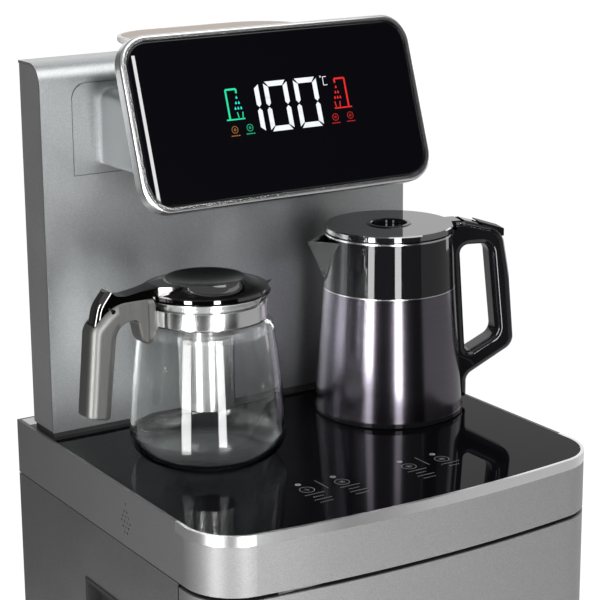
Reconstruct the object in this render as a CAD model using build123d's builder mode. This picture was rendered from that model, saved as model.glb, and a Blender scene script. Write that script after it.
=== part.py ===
from build123d import *
from math import atan2, cos, degrees, radians, sin, sqrt
import os

# A floor-standing tea bar: a cabinet for a water bottle with a glass worktop, a column behind it
# that carries a tilted display head with two water outlets, a lift-off kettle and a glass teapot.
# Millimetres. Z is up from the floor, the front faces -Y, X = 0 is the cabinet's middle plane.

# Cabinet plan and heights
cabinet_width = 400.0
cabinet_depth = 379.0
front_bow = 16.0
corner_radius = 46.0
worktop_height = 740.0
band_height = 52.0
band_wall = 3.0
lip_width = 10.0
lip_thickness = 2.0
ledge_thickness = 4.0
tongue_drop = 12.0
tongue_wall = 2.0
sheet = 1.2
panel_seam = 1.0

# Base, feet and bay floor
foot_height = 12.0
foot_radius = 15.0
foot_boss_radius = 18.0
foot_inset_x = 45.0
foot_inset_front = 75.0
foot_inset_rear = 45.0
foot_chamfer = 2.0
skirt_height = 36.0
pan_wall = 3.0
bay_floor_height = 12.0

# Door
door_return = 67.0
door_seam = 2.0
door_gap = 4.0
door_skin_thickness = 2.0
door_liner_thickness = 18.0
pivot_inset_x = 8.0
pivot_ahead = 24.5
hinge_pin_radius = 3.0
hinge_pin_engagement = 12.0
hinge_clearance = 0.05
hinge_hole_spare = 2.0
pull_height = 100.0
pull_width = 17.0
pull_depth = 14.0
pull_wall = 2.0
pull_middle_height = 430.0
catch_inset_x = 80.0
catch_length = 40.0
catch_width = 7.0
catch_air_gap = 0.6
catch_setback = 8.0

# Side panels, grips, rear panel
panel_return = 14.0
grip_length = 108.0
grip_height = 34.0
grip_depth = 15.0
grip_wall = 2.0
grip_flange = 3.0
grip_flange_proud = 1.0
grip_step = 1.0
grip_middle_y = -6.0
grip_top_below_worktop = 112.0
fit_gap = 0.3
vent_length = 46.0
vent_width = 3.5
vent_pitch = 11.0
vent_rows = 7
vent_columns = 3
vent_column_pitch = 62.0
vent_middle_height = 600.0
inlet_inset_x = 80.0
inlet_height = 130.0
gland_radius = 11.0
gland_flange_radius = 14.0
gland_bore_radius = 4.0
gland_depth = 16.0
switch_inset_x = 80.0
switch_height = 130.0
rocker_width = 18.0
rocker_length = 26.0
rocker_throw = 20.0
switch_wall = 2.0
switch_flange = 2.0
switch_depth = 18.0
rocker_gap = 0.4
rocker_end_gap = 1.2
rocker_pivot_depth = 4.0
rocker_pin_radius = 2.0
screw_head_radius = 3.5
screw_head_height = 1.4
screw_shank_radius = 1.5
screw_shank_length = 4.0
screw_rows = 3
screw_pitch = 260.0
screw_middle_height = 370.0

# Worktop glass, trim and touch electronics
glass_thickness = 6.0
trim_height = 9.0
trim_face = 1.2
trim_lip = 1.0
trim_return = 71.0
speaker_y = -31.0
speaker_drop = 30.0
speaker_radius = 14.0
speaker_depth = 8.0
hole_radius = 1.1
hole_pitch_y = 5.0
hole_pitch_z = 4.75
hole_rows = (2, 3, 4, 3, 2)
microphone_drop = 14.0
deck_thickness = 2.0
board_thickness = 1.6
board_length = 150.0
board_width = 90.0
board_x = 30.0
board_setback = 94.5
board_post_radius = 4.0
board_post_height = 8.0
relay_size = (28.0, 13.0, 16.0)
relay_pitch = 50.0
choke_radius = 8.0
choke_height = 14.0
choke_offset = 22.5
heat_sink_size = (44.0, 12.0, 20.0)
heat_sink_offset = 22.5
touch_board_length = 190.0
touch_board_width = 40.0
touch_board_inset_x = 145.0
touch_board_setback = 44.5
warmer_radius = 55.0
warmer_thickness = 3.0
warmer_leg_radius = 4.0
warmer_leg_circle = 40.0

# Column
column_setback = 70.5
column_depth = 43.4
column_side_inset = 5.0
column_height = 343.0
column_rise = 5.0
column_skin_thickness = 2.5
shoulder_radius = 20.0
end_panel_thickness = 3.0
end_panel_inset = 0.8
foot_margin = 5.0
foot_plinth_inset = 2.0
foot_lip_depth = 15.0
foot_opening_width = 300.0
foot_opening_inset = 9.0

# Rear housing and cap
housing_width = 170.0
housing_corner = 20.0
housing_wall = 2.5
cap_length = 192.0
cap_width = 100.0
cap_overhang = 9.7
cap_thickness = 6.0
cap_plinth_height = 7.0
cap_plinth_length = 150.0
cap_plinth_width = 46.0
cap_plinth_corner = 15.0
cap_rim = 4.0
cap_low_round = 2.4
cap_high_round = 1.5
inlay_thickness = 1.2

# Display head
display_side_inset = 54.85
display_height = 145.5
display_tilt = 18.76
display_reach = 86.4
display_centre_height = 295.5
display_corner = 22.0
display_glass_thickness = 4.0
display_lip = 5.6
bezel_depth = 11.0
bezel_proud = 0.8
bezel_ledge = 5.0
bezel_ledge_thickness = 2.0
back_thickness = 5.0
back_inset = 2.0
back_pocket = 3.0
plate_side_inset = 36.0
plate_height = 81.8
plate_bottom = 241.5
plate_corner = 14.0
plate_seam = 0.8
plate_flange = 6.0
neck_side_inset = 61.6
neck_height = 69.0
neck_bottom = 248.7
neck_top_corner = 12.0
neck_bottom_corner = 5.0
neck_wall = 3.0
nozzle_reach = 70.0
nozzle_radius = 5.0
nozzle_boss_radius = 9.0
nozzle_boss_height = 3.0
nozzle_length = 14.0
nozzle_bore = 1.9
nozzle_chamfer = 1.0
bezel_round = 3.0
display_post_height = 5.0
module_side_inset = 70.15
module_height = 60.0

# Water works
tube_radius = 4.0
tube_rise = 14.3
tube_turn = 20.0
tube_bend = 8.0
tube_window_margin = 12.0
tank_radius = 25.0
tank_height = 150.0
tank_chamfer = 5.0
tank_height_above_worktop = 90.0
nipple_radius = 4.0
nipple_length = 8.0
nipple_offset = 12.0
shelf_thickness = 3.0
shelf_width = 60.0
pump_radius = 16.0
pump_length = 62.0
pump_head = 30.0
inlet_length = 20.0

# Kettle
kettle_inset_x = 85.5
kettle_reach = 89.3
kettle_handle_angle = -16.5
kettle_seat_gap = 0.3
kettle_base_radius = 69.9
kettle_base_height = 5.0
base_plate_low = 2.0
base_rim_width = 10.0
shell_step = 0.5
kettle_seam_height = 120.4
kettle_seam_radius = 61.8
kettle_rim_height = 170.3
kettle_rim_radius = 59.7
kettle_shell_wall = 1.2
kettle_collar_wall = 2.2
liner_foot_radius = 62.0
liner_wall = 1.2
rim_thickness = 1.5
rim_proud = 0.4
hub_radius = 18.0
hub_height = 9.0
hub_flange_radius = 34.0
hub_gap = 0.6
contact_ring_radius = 10.0
contact_ring_width = 2.4
contact_ring_depth = 5.0
socket_wall = 5.0
socket_low = 1.5
socket_depth = 8.5
socket_roof = 2.0
heater_radius = 50.0
spout_tip_reach = 79.0
spout_tip_height = 166.5
spout_low_reach = 60.5
spout_low_height = 125.5
spout_root_reach = 52.0
spout_root_half = 26.5
spout_root_height = 168.2
spout_wall = 1.5
spout_throat = 12.0
lip_lean = 1.2
heater_thickness = 4.0
lid_radius = 59.5
lid_thickness = 6.2
lid_gap = 0.5
lid_edge = 1.0
plug_radius = 52.0
plug_wall = 2.5
plug_depth = 5.0
fill_hole_radius = 20.1
fill_ring_wall = 3.6
fill_ring_flange = 1.4
fill_ring_height = 0.9
fill_ring_drop = 1.5
fill_ring_clearance = 0.1
flap_gap = 1.9
flap_thickness = 1.4
flap_pin_radius = 1.0
flap_pin_reach = 12.5
flap_knuckle_wall = 0.6
flap_pivot_rise = 2.0
trunnion_grip = 2.0
flap_knuckle_length = 14.0
handle_width = 28.0
handle_round = 7.0
handle_foot_round = 2.0
handle_heel_round = 10.0
handle_elbow_round = 14.0
handle_back_round = 120.0
handle_tip_round = 20.0
strip_inside = 52.0
strip_foot_height = 6.0
strip_foot_reach = 75.0
handle_heel_height = 27.0
handle_elbow_reach = 122.5
handle_elbow_height = 54.5
handle_back_reach = 116.5
handle_back_height = 126.0
handle_tip_reach = 109.0
handle_tip_height = 168.0
grip_hole_top = 154.5
grip_hole_near_top = 66.8
grip_hole_far_top = 95.5
grip_hole_far_bottom = 104.5
grip_hole_far_height = 66.0
grip_hole_near_bottom = 73.6
grip_hole_near_height = 49.0
grip_hole_near_top_round = 8.0
grip_hole_far_top_round = 10.0
grip_hole_far_bottom_round = 12.0
grip_hole_near_bottom_round = 4.0
ear_clearance = 2.5
lid_tab_width = 19.4
lid_tab_reach = 69.2
lid_pivot_reach = 66.5
lid_pivot_below_top = 3.2
lid_pin_radius = 1.5
tab_side_gap = 0.4
tab_end_gap = 1.8
button_width = 20.0
button_travel = 3.0
button_gap = 0.4
button_stem_radius = 2.5
button_stem_length = 12.0
button_stem_reach = 97.0
button_front = 86.0
button_back_reach = 110.5
button_top_near = 176.0
button_top_far = 168.0
well_near_height = 171.6
well_far_reach = 106.5
well_far_height = 157.5

# Teapot
teapot_inset_x = 104.8
teapot_reach = 110.0
teapot_handle_angle = 181.0
teapot_seat_gap = 0.3
jar_height = 149.2
jar_wall = 2.5
jar_floor = 4.0
jar_foot_radius = 48.0
jar_belly_radius = 69.3
jar_belly_height = 24.0
jar_shoulder_radius = 60.3
jar_shoulder_height = 116.0
jar_neck_radius = 53.0
jar_neck_height = 125.5
jar_lip_height = 141.5
jar_lip_radius = 57.3
heel_fullness = 0.225
heel_depth = 0.667
wall_bow = 1.0
shoulder_in = 2.1
shoulder_drop = 3.0
pour_tip_reach = 69.5
pour_low_reach = 56.0
pour_drop = 7.8
pour_root_reach = 54.0
pour_root_half = 15.0
pour_throat = 9.0
collar_wall = 1.4
collar_bottom = 127.5
collar_height = 13.5
pot_handle_width = 26.0
pot_handle_round = 8.5
pot_arch_round = 15.0
pot_hook_inner_round = 4.5
pot_hook_round = 10.0
pot_grip_round = 10.0
pot_shoulder_round = 16.0
pot_ear_round = 34.0
pot_foot_round = 2.5
arm_inside = 50.0
arm_low = 134.5
arm_high = 153.5
hook_low = 112.0
hook_reach = 68.0
hook_root_reach = 73.0
pot_arch_reach = 91.0
pot_grip_inner = 102.0
pot_grip_outer = 126.0
pot_grip_end = 36.0
pot_foot_low = 49.5
pot_foot_high = 57.0
pot_grip_top_reach = 117.3
pot_grip_high = 134.0
pot_ear_reach = 95.0
cheek_front = 63.0
cheek_back = 91.5
cheek_round = 6.0
cheek_depth = 3.0
lip_clearance = 1.0
slot_front = 88.5
slot_back = 114.4
slot_floor = 122.0
arm_slot_floor = 149.4
pot_slot_width = 17.0
pot_lever_width = 16.2
pot_pivot_reach = 96.6
pot_pivot_height = 146.9
pot_pin_radius = 2.0
pot_pin_length = 23.2
pot_knuckle_radius = 5.0
pot_lid_radius = 55.2
pot_lid_gap = 0.6
pot_lid_rim = 3.0
pot_lid_wall = 2.0
dish_radius = 33.5
dish_rise = 7.9
dish_depth = 4.2
dish_lip = 1.6
lid_hollow = 0.4
lever_gap = 0.5
lever_flare_half = 19.0
lever_flare_reach = 78.0
lever_root_reach = 28.0
lever_root_height = 160.0
lever_bow_reach = 52.0
lever_bow_height = 161.8
lever_dip_reach = 82.0
lever_dip_height = 157.8
lever_rise_reach = 91.0
lever_rise_height = 158.6
lever_thumb_reach = 97.6
lever_thumb_height = 164.0
lever_back_reach = 101.0
lever_back_height = 163.2
lever_bulge_reach = 110.2
lever_bulge_height = 151.5
lever_bulge_round = 24.0
lever_tail_reach = 113.4
lever_tail_height = 137.0
lever_tip_reach = 110.4
lever_tip_height = 134.0
lever_heel_reach = 103.5
lever_throat_reach = 88.0
lever_bow_round = 30.0
lever_dip_round = 8.0
lever_thumb_round = 1.0
lever_tail_round = 1.5
lever_heel_round = 3.0
lever_back_lean = 0.75
lever_back_round = 6.0
infuser_radius = 24.5
infuser_wall = 0.8
infuser_bottom = 45.0
infuser_cup_top = 113.0
infuser_skirt_radius = 49.6
infuser_skirt_bottom = 124.0
infuser_flange_radius = 55.5

os.makedirs("parts", exist_ok=True)

# Places worked out from the sizes above
half_width = cabinet_width / 2
rear_y = cabinet_depth / 2
front_y = -cabinet_depth / 2
front_radius = (half_width**2 + front_bow**2) / (2 * front_bow)
bow_centre_y = front_y + front_radius
corner_x = half_width - corner_radius
corner_y = bow_centre_y - sqrt((front_radius - corner_radius) ** 2 - corner_x**2)
corner_angle = degrees(atan2(corner_y - bow_centre_y, corner_x))
band_bottom = worktop_height - band_height
ledge_top = worktop_height - glass_thickness
deck_bottom = band_bottom + lip_thickness
deck_top = deck_bottom + deck_thickness
panel_top = band_bottom - panel_seam
skirt_top = foot_height + skirt_height
bay_floor = skirt_top + bay_floor_height
door_edge_y = front_y + door_return
panel_edge_y = door_edge_y + door_seam
door_bottom = skirt_top + door_gap
door_top = band_bottom - door_gap
pivot_x = half_width - pivot_inset_x
pivot_y = door_edge_y - pivot_ahead
catch_x = catch_inset_x - half_width
inlet_x = inlet_inset_x - half_width
switch_x = half_width - switch_inset_x
touch_board_x = half_width - touch_board_inset_x
touch_board_y = front_y + touch_board_setback
board_y = front_y + board_setback
kettle_x = half_width - kettle_inset_x
teapot_x = teapot_inset_x - half_width
column_width = cabinet_width - 2 * column_side_inset
display_width = cabinet_width - 2 * display_side_inset
plate_width = cabinet_width - 2 * plate_side_inset
neck_width = cabinet_width - 2 * neck_side_inset
module_width = display_width - 2 * module_side_inset
column_front = rear_y - column_setback
column_back = column_front + column_depth
column_foot_z = worktop_height + column_rise
column_top = worktop_height + column_height
end_panel_x = column_width / 2 - end_panel_inset - end_panel_thickness
front_plane = Plane(origin=(0, column_front, worktop_height), x_dir=(1, 0, 0), z_dir=(0, -1, 0))
rear_plane = Plane(origin=(0, rear_y - sheet, 0), x_dir=(-1, 0, 0), z_dir=(0, 1, 0))
left_plane = Plane(origin=(-half_width, 0, worktop_height), x_dir=(0, -1, 0), z_dir=(-1, 0, 0))


# Shared outlines
def cabinet_plan(inset, mode=Mode.ADD):
    """Plan of the cabinet, set in all round: straight sides, square back, bowed front, round corners."""
    side = half_width - inset
    back = rear_y - inset
    bend = corner_radius - inset
    middle = radians(corner_angle / 2)
    end = radians(corner_angle)
    join = (corner_x + bend * cos(end), corner_y + bend * sin(end))
    knee = (corner_x + bend * cos(middle), corner_y + bend * sin(middle))
    with BuildLine() as edge:
        ThreePointArc((-join[0], join[1]), (0, front_y + inset), join)
        ThreePointArc(join, knee, (side, corner_y))
        Polyline((side, corner_y), (side, back), (-side, back), (-side, corner_y))
        ThreePointArc((-side, corner_y), (-knee[0], knee[1]), (-join[0], join[1]))
    make_face(edge.edges(), mode=mode)


def plan_ahead_of(edge_y, mode):
    """Rectangle over everything that lies in front of edge_y."""
    with Locations((0, edge_y)):
        Rectangle(2 * cabinet_width, 2 * cabinet_depth, align=(Align.CENTER, Align.MAX), mode=mode)


def outline(*points, mode=Mode.ADD):
    """Closed straight-sided outline."""
    with BuildLine() as edge:
        Polyline(*points, close=True)
    make_face(edge.edges(), mode=mode)


def rounded_outline(points, radii, mode=Mode.ADD):
    """Closed outline whose corners are rounded, each with its own radius."""
    with BuildLine() as edge:
        FilletPolyline(*points, radius=radii, close=True)
    make_face(edge.edges(), mode=mode)


def pouring_lip(tip, low, root, wall, throat):
    """Corners of a V-shaped pouring lip that points along -X; with a wall, those of its hollow."""
    reach = wall * lip_lean
    width = root[1] - reach / 2
    inside = root[0] - reach / 2 - throat
    corners = [(reach - tip[0], 0, tip[1] + wall), (reach - low[0], 0, low[1] + 2 * wall)]
    corners += [(-inside, 0, low[1] + 2 * wall)]
    for side in (-1, 1):
        corners += [(reach / 2 - root[0], side * width, root[2] + wall)]
        corners += [(-inside, side * width, root[2] + wall)]
    return corners


# Base and bottle bay
foot_places = [
    (side * (half_width - foot_inset_x), y)
    for side in (-1, 1)
    for y in (front_y + foot_inset_front, rear_y - foot_inset_rear)
]

with BuildPart() as base_pan:
    with BuildSketch(Plane.XY.offset(foot_height)):
        cabinet_plan(sheet)
    extrude(amount=skirt_height)
    with BuildSketch(Plane.XY.offset(skirt_top)):
        cabinet_plan(sheet)
        plan_ahead_of(panel_edge_y, Mode.SUBTRACT)
    extrude(amount=bay_floor_height)
    with BuildSketch(Plane.XY.offset(foot_height)):
        cabinet_plan(sheet + pan_wall)
        with Locations(*foot_places):
            Circle(foot_boss_radius, mode=Mode.SUBTRACT)
    extrude(amount=skirt_height - pan_wall, mode=Mode.SUBTRACT)
base_pan.part.label = "base_pan"
export_step(base_pan.part, "parts/base_pan.step")

with BuildPart() as feet:
    with Locations(*foot_places):
        Cylinder(foot_radius, foot_height, align=(Align.CENTER, Align.CENTER, Align.MIN))
    chamfer(feet.edges().group_by(Axis.Z)[0], foot_chamfer)
feet.part.label = "feet"
export_step(feet.part, "parts/feet.step")

# Sheet-metal sides, each with a rear return for the screws and a front return beside the door
grip_top = worktop_height - grip_top_below_worktop
grip_middle_z = grip_top - grip_height / 2
grip_plane = Plane(
    origin=(-half_width, grip_middle_y, grip_middle_z), x_dir=(0, -1, 0), z_dir=(-1, 0, 0)
)
screw_heights = [
    screw_middle_height + (row - (screw_rows - 1) / 2) * screw_pitch for row in range(screw_rows)
]
screw_x = half_width - panel_return / 2
screw_places = [(side * screw_x, z) for side in (-1, 1) for z in screw_heights]

with BuildPart() as side_panel_left:
    with BuildSketch(Plane.XY.offset(skirt_top)):
        outline(
            (-half_width, panel_edge_y),
            (-half_width, rear_y),
            (-half_width + panel_return, rear_y),
            (-half_width + panel_return, rear_y - sheet),
            (-half_width + sheet, rear_y - sheet),
            (-half_width + sheet, panel_edge_y),
        )
    extrude(amount=panel_top - skirt_top)
    with BuildSketch(grip_plane):
        Rectangle(grip_length + 2 * fit_gap, grip_height + 2 * fit_gap)
    extrude(amount=-2 * sheet, mode=Mode.SUBTRACT)
    with BuildSketch(rear_plane):
        with Locations(*[(-x, z) for x, z in screw_places]):
            Circle(screw_shank_radius + fit_gap)
    extrude(amount=2 * sheet, mode=Mode.SUBTRACT)
side_panel_left.part.label = "side_panel_left"
export_step(side_panel_left.part, "parts/side_panel_left.step")

with BuildPart() as side_panel_right:
    mirror(side_panel_left.part, about=Plane.YZ)
side_panel_right.part.label = "side_panel_right"
export_step(side_panel_right.part, "parts/side_panel_right.step")

with BuildPart() as side_grip_left:
    with BuildSketch(grip_plane):
        Rectangle(grip_length + 2 * grip_flange, grip_height + 2 * grip_flange)
    extrude(amount=grip_flange_proud)
    with BuildSketch(grip_plane):
        Rectangle(grip_length, grip_height)
    extrude(amount=-grip_depth)
    fillet(side_grip_left.faces().sort_by(Axis.X)[0].edges(), grip_flange_proud / 2)
    with BuildSketch(grip_plane.offset(grip_flange_proud)):
        Rectangle(grip_length - 2 * grip_wall, grip_height - 2 * grip_wall)
    extrude(amount=grip_wall - grip_depth - grip_flange_proud, mode=Mode.SUBTRACT)
    with BuildSketch(grip_plane.offset(grip_flange_proud)):
        Rectangle(grip_length - 2 * grip_step, grip_height - 2 * grip_step)
    extrude(amount=-grip_step, mode=Mode.SUBTRACT)
side_grip_left.part.label = "side_grip_left"
export_step(side_grip_left.part, "parts/side_grip_left.step")

with BuildPart() as side_grip_right:
    mirror(side_grip_left.part, about=Plane.YZ)
side_grip_right.part.label = "side_grip_right"
export_step(side_grip_right.part, "parts/side_grip_right.step")

# Rear panel inside the side returns, with vents, the cord gland and the mains switch
switch_rim = 2 * (rocker_gap + switch_wall)
switch_hole = (rocker_width + switch_rim, rocker_length + switch_rim)

with BuildPart() as rear_panel:
    with BuildSketch(rear_plane):
        with Locations((0, (bay_floor + panel_top) / 2)):
            Rectangle(cabinet_width - 2 * sheet, panel_top - bay_floor)
        with Locations((0, vent_middle_height)):
            with GridLocations(vent_column_pitch, vent_pitch, vent_columns, vent_rows):
                SlotOverall(vent_length, vent_width, mode=Mode.SUBTRACT)
        with Locations((-inlet_x, inlet_height)):
            Circle(gland_radius, mode=Mode.SUBTRACT)
        with Locations((-switch_x, switch_height)):
            Rectangle(*switch_hole, mode=Mode.SUBTRACT)
        with Locations(*[(-x, z) for x, z in screw_places]):
            Circle(screw_shank_radius, mode=Mode.SUBTRACT)
    extrude(amount=-sheet)
rear_panel.part.label = "rear_panel"
export_step(rear_panel.part, "parts/rear_panel.step")

with BuildPart() as case_screws:
    with BuildSketch(rear_plane.offset(sheet)):
        with Locations(*[(-x, z) for x, z in screw_places]):
            Circle(screw_head_radius)
    extrude(amount=screw_head_height)
    fillet(case_screws.edges().group_by(Axis.Y)[-1], screw_head_height / 2)
    with BuildSketch(rear_plane.offset(sheet)):
        with Locations(*[(-x, z) for x, z in screw_places]):
            Circle(screw_shank_radius)
    extrude(amount=-screw_shank_length)
case_screws.part.label = "case_screws"
export_step(case_screws.part, "parts/case_screws.step")

with BuildPart() as cord_gland:
    with BuildSketch(rear_plane):
        with Locations((-inlet_x, inlet_height)):
            Circle(gland_flange_radius)
    extrude(amount=sheet)
    with BuildSketch(rear_plane):
        with Locations((-inlet_x, inlet_height)):
            Circle(gland_radius)
    extrude(amount=-gland_depth)
    with BuildSketch(rear_plane.offset(sheet)):
        with Locations((-inlet_x, inlet_height)):
            Circle(gland_bore_radius)
    extrude(amount=-gland_depth - sheet, mode=Mode.SUBTRACT)
cord_gland.part.label = "cord_gland"
export_step(cord_gland.part, "parts/cord_gland.step")

# Mains rocker: it rests with its upper end out and tips through its throw
rocker_side = Plane(
    origin=(switch_x, rear_y - sheet, switch_height), x_dir=(0, 1, 0), z_dir=(1, 0, 0)
)
rocker_reach = rocker_length / 2 - rocker_end_gap
rocker_face = radians(rocker_throw / 2)

with BuildPart() as switch_frame:
    with BuildSketch(rear_plane):
        with Locations((-switch_x, switch_height)):
            Rectangle(switch_hole[0] + 2 * switch_flange, switch_hole[1] + 2 * switch_flange)
    extrude(amount=sheet)
    with BuildSketch(rear_plane):
        with Locations((-switch_x, switch_height)):
            Rectangle(*switch_hole)
    extrude(amount=-switch_depth - switch_wall)
    with BuildSketch(rear_plane.offset(sheet)):
        with Locations((-switch_x, switch_height)):
            Rectangle(rocker_width + 2 * rocker_gap, rocker_length + 2 * rocker_gap)
    extrude(amount=-switch_depth - sheet, mode=Mode.SUBTRACT)
    with BuildSketch(rocker_side):
        with Locations((-rocker_pivot_depth, 0)):
            Circle(rocker_pin_radius)
    extrude(amount=switch_hole[0] / 2, both=True)
    fillet(switch_frame.faces().sort_by(Axis.Y)[-1].outer_wire().edges(), sheet / 2)
switch_frame.part.label = "switch_frame"
export_step(switch_frame.part, "parts/switch_frame.step")

with BuildPart() as mains_rocker:
    with BuildSketch(rocker_side):
        with BuildLine():
            low = (sheet - rocker_reach * sin(rocker_face), -rocker_reach * cos(rocker_face))
            high = (sheet, rocker_reach * cos(rocker_face))
            Polyline(low, (0, 0), high, (-rocker_pivot_depth - rocker_pin_radius, rocker_reach / 2))
            Polyline(
                (-rocker_pivot_depth - rocker_pin_radius, rocker_reach / 2),
                (-rocker_pivot_depth - 2 * rocker_pin_radius, 0),
                (-rocker_pivot_depth - rocker_pin_radius, -rocker_reach / 2),
                low,
            )
        make_face()
        with Locations((-rocker_pivot_depth, 0)):
            Circle(rocker_pin_radius + hinge_clearance, mode=Mode.SUBTRACT)
    extrude(amount=rocker_width / 2, both=True)
mains_rocker.part.label = "mains_rocker"
export_step(mains_rocker.part, "parts/mains_rocker.step")

# Worktop band: outer wall, bottom lip, glass ledge and two tongues that drop inside the side panels
tongue_x = half_width - sheet - tongue_wall / 2
tongue_front = panel_edge_y + tongue_wall
tongue_rear = rear_y - lip_width

with BuildPart() as trim_strip:
    with BuildSketch(Plane.XY.offset(worktop_height - trim_height)):
        cabinet_plan(0)
        cabinet_plan(trim_face, Mode.SUBTRACT)
        plan_ahead_of(front_y + trim_return, Mode.INTERSECT)
    extrude(amount=trim_height)
    with BuildSketch(Plane.XY.offset(worktop_height - trim_lip)):
        cabinet_plan(trim_face)
        cabinet_plan(band_wall, Mode.SUBTRACT)
        plan_ahead_of(front_y + trim_return, Mode.INTERSECT)
    extrude(amount=trim_lip)
trim_strip.part.label = "trim_strip"
export_step(trim_strip.part, "parts/trim_strip.step")

middle_row = (len(hole_rows) - 1) / 2
hole_places = [
    (-speaker_y + (n - (count - 1) / 2) * hole_pitch_y, -speaker_drop + (middle_row - row) * hole_pitch_z)
    for row, count in enumerate(hole_rows)
    for n in range(count)
]

with BuildPart() as worktop_band:
    with BuildSketch(Plane.XY.offset(band_bottom)):
        cabinet_plan(0)
        cabinet_plan(band_wall, Mode.SUBTRACT)
    extrude(amount=band_height)
    with BuildSketch(Plane.XY.offset(band_bottom)):
        cabinet_plan(band_wall)
        cabinet_plan(band_wall + lip_width, Mode.SUBTRACT)
    extrude(amount=lip_thickness)
    with BuildSketch(Plane.XY.offset(ledge_top - ledge_thickness)):
        cabinet_plan(band_wall)
        cabinet_plan(band_wall + lip_width, Mode.SUBTRACT)
    extrude(amount=ledge_thickness)
    with BuildSketch(Plane.XY.offset(band_bottom - tongue_drop)):
        for side in (-1, 1):
            with Locations((side * tongue_x, (tongue_front + tongue_rear) / 2)):
                Rectangle(tongue_wall, tongue_rear - tongue_front)
    extrude(amount=tongue_drop)
    add(trim_strip.part, mode=Mode.SUBTRACT)
    with BuildSketch(left_plane):
        with Locations(*hole_places, (-speaker_y, -microphone_drop)):
            Circle(hole_radius)
    extrude(amount=-2 * band_wall, mode=Mode.SUBTRACT)
worktop_band.part.label = "worktop_band"
export_step(worktop_band.part, "parts/worktop_band.step")

with BuildPart() as speaker:
    with BuildSketch(left_plane.offset(-band_wall)):
        with Locations((-speaker_y, -speaker_drop)):
            Circle(speaker_radius)
    extrude(amount=-speaker_depth)
speaker.part.label = "speaker"
export_step(speaker.part, "parts/speaker.step")

# Glass worktop with the hole for the kettle's power hub
kettle_y = column_front - kettle_reach
teapot_y = column_front - teapot_reach
glass_rear = column_front - foot_margin

with BuildPart() as glass_top:
    with BuildSketch(Plane.XY.offset(ledge_top)):
        cabinet_plan(band_wall + fit_gap)
        plan_ahead_of(glass_rear, Mode.INTERSECT)
        with Locations((kettle_x, kettle_y)):
            Circle(hub_radius + fit_gap, mode=Mode.SUBTRACT)
    extrude(amount=glass_thickness)
glass_top.part.label = "glass_top"
export_step(glass_top.part, "parts/glass_top.step")

with BuildPart() as kettle_hub:
    with Locations((kettle_x, kettle_y, ledge_top - lip_thickness)):
        Cylinder(hub_flange_radius, lip_thickness, align=(Align.CENTER, Align.CENTER, Align.MIN))
    with Locations((kettle_x, kettle_y, ledge_top)):
        Cylinder(hub_radius, glass_thickness + hub_height, align=(Align.CENTER, Align.CENTER, Align.MIN))
    chamfer(kettle_hub.edges().group_by(Axis.Z)[-1], hub_gap)
    with BuildSketch(Plane.XY.offset(worktop_height + hub_height)):
        with Locations((kettle_x, kettle_y)):
            Circle(contact_ring_radius + contact_ring_width / 2)
            Circle(contact_ring_radius - contact_ring_width / 2, mode=Mode.SUBTRACT)
    extrude(amount=-contact_ring_depth, mode=Mode.SUBTRACT)
kettle_hub.part.label = "kettle_hub"
export_step(kettle_hub.part, "parts/kettle_hub.step")

with BuildPart() as warming_plate:
    with Locations((teapot_x, teapot_y, ledge_top)):
        Cylinder(warmer_radius, warmer_thickness, align=(Align.CENTER, Align.CENTER, Align.MAX))
    with BuildSketch(Plane.XY.offset(deck_top)):
        with Locations((teapot_x, teapot_y)):
            with PolarLocations(warmer_leg_circle, 3):
                Circle(warmer_leg_radius)
    extrude(amount=ledge_top - warmer_thickness - deck_top)
warming_plate.part.label = "warming_plate"
export_step(warming_plate.part, "parts/warming_plate.step")

with BuildPart() as touch_board:
    with Locations((touch_board_x, touch_board_y, ledge_top)):
        Box(
            touch_board_length,
            touch_board_width,
            board_thickness,
            align=(Align.CENTER, Align.CENTER, Align.MAX),
        )
touch_board.part.label = "touch_board"
export_step(touch_board.part, "parts/touch_board.step")

# Deck under the worktop, with posts for the control board and a hole for the pump's inlet
board_margin = 2 * board_post_radius
riser_y = column_front + column_depth / 2

with BuildPart() as deck_plate:
    with BuildSketch(Plane.XY.offset(deck_bottom)):
        cabinet_plan(band_wall + fit_gap)
        with Locations((0, riser_y)):
            Circle(nipple_radius + fit_gap, mode=Mode.SUBTRACT)
    extrude(amount=deck_thickness)
    with BuildSketch(Plane.XY.offset(deck_top)):
        with Locations((board_x, board_y)):
            with GridLocations(board_length - board_margin, board_width - board_margin, 2, 2):
                Circle(board_post_radius)
    extrude(amount=board_post_height)
deck_plate.part.label = "deck_plate"
export_step(deck_plate.part, "parts/deck_plate.step")

with BuildPart() as control_board:
    board_top = deck_top + board_post_height + board_thickness
    with Locations((board_x, board_y, board_top)):
        Box(board_length, board_width, board_thickness, align=(Align.CENTER, Align.CENTER, Align.MAX))
        with GridLocations(relay_pitch, 0, 2, 1):
            Box(*relay_size, align=(Align.CENTER, Align.CENTER, Align.MIN))
    with Locations((board_x, board_y + choke_offset, board_top)):
        Cylinder(choke_radius, choke_height, align=(Align.CENTER, Align.CENTER, Align.MIN))
    with Locations((board_x, board_y - heat_sink_offset, board_top)):
        Box(*heat_sink_size, align=(Align.CENTER, Align.CENTER, Align.MIN))
control_board.part.label = "control_board"
export_step(control_board.part, "parts/control_board.step")

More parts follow.
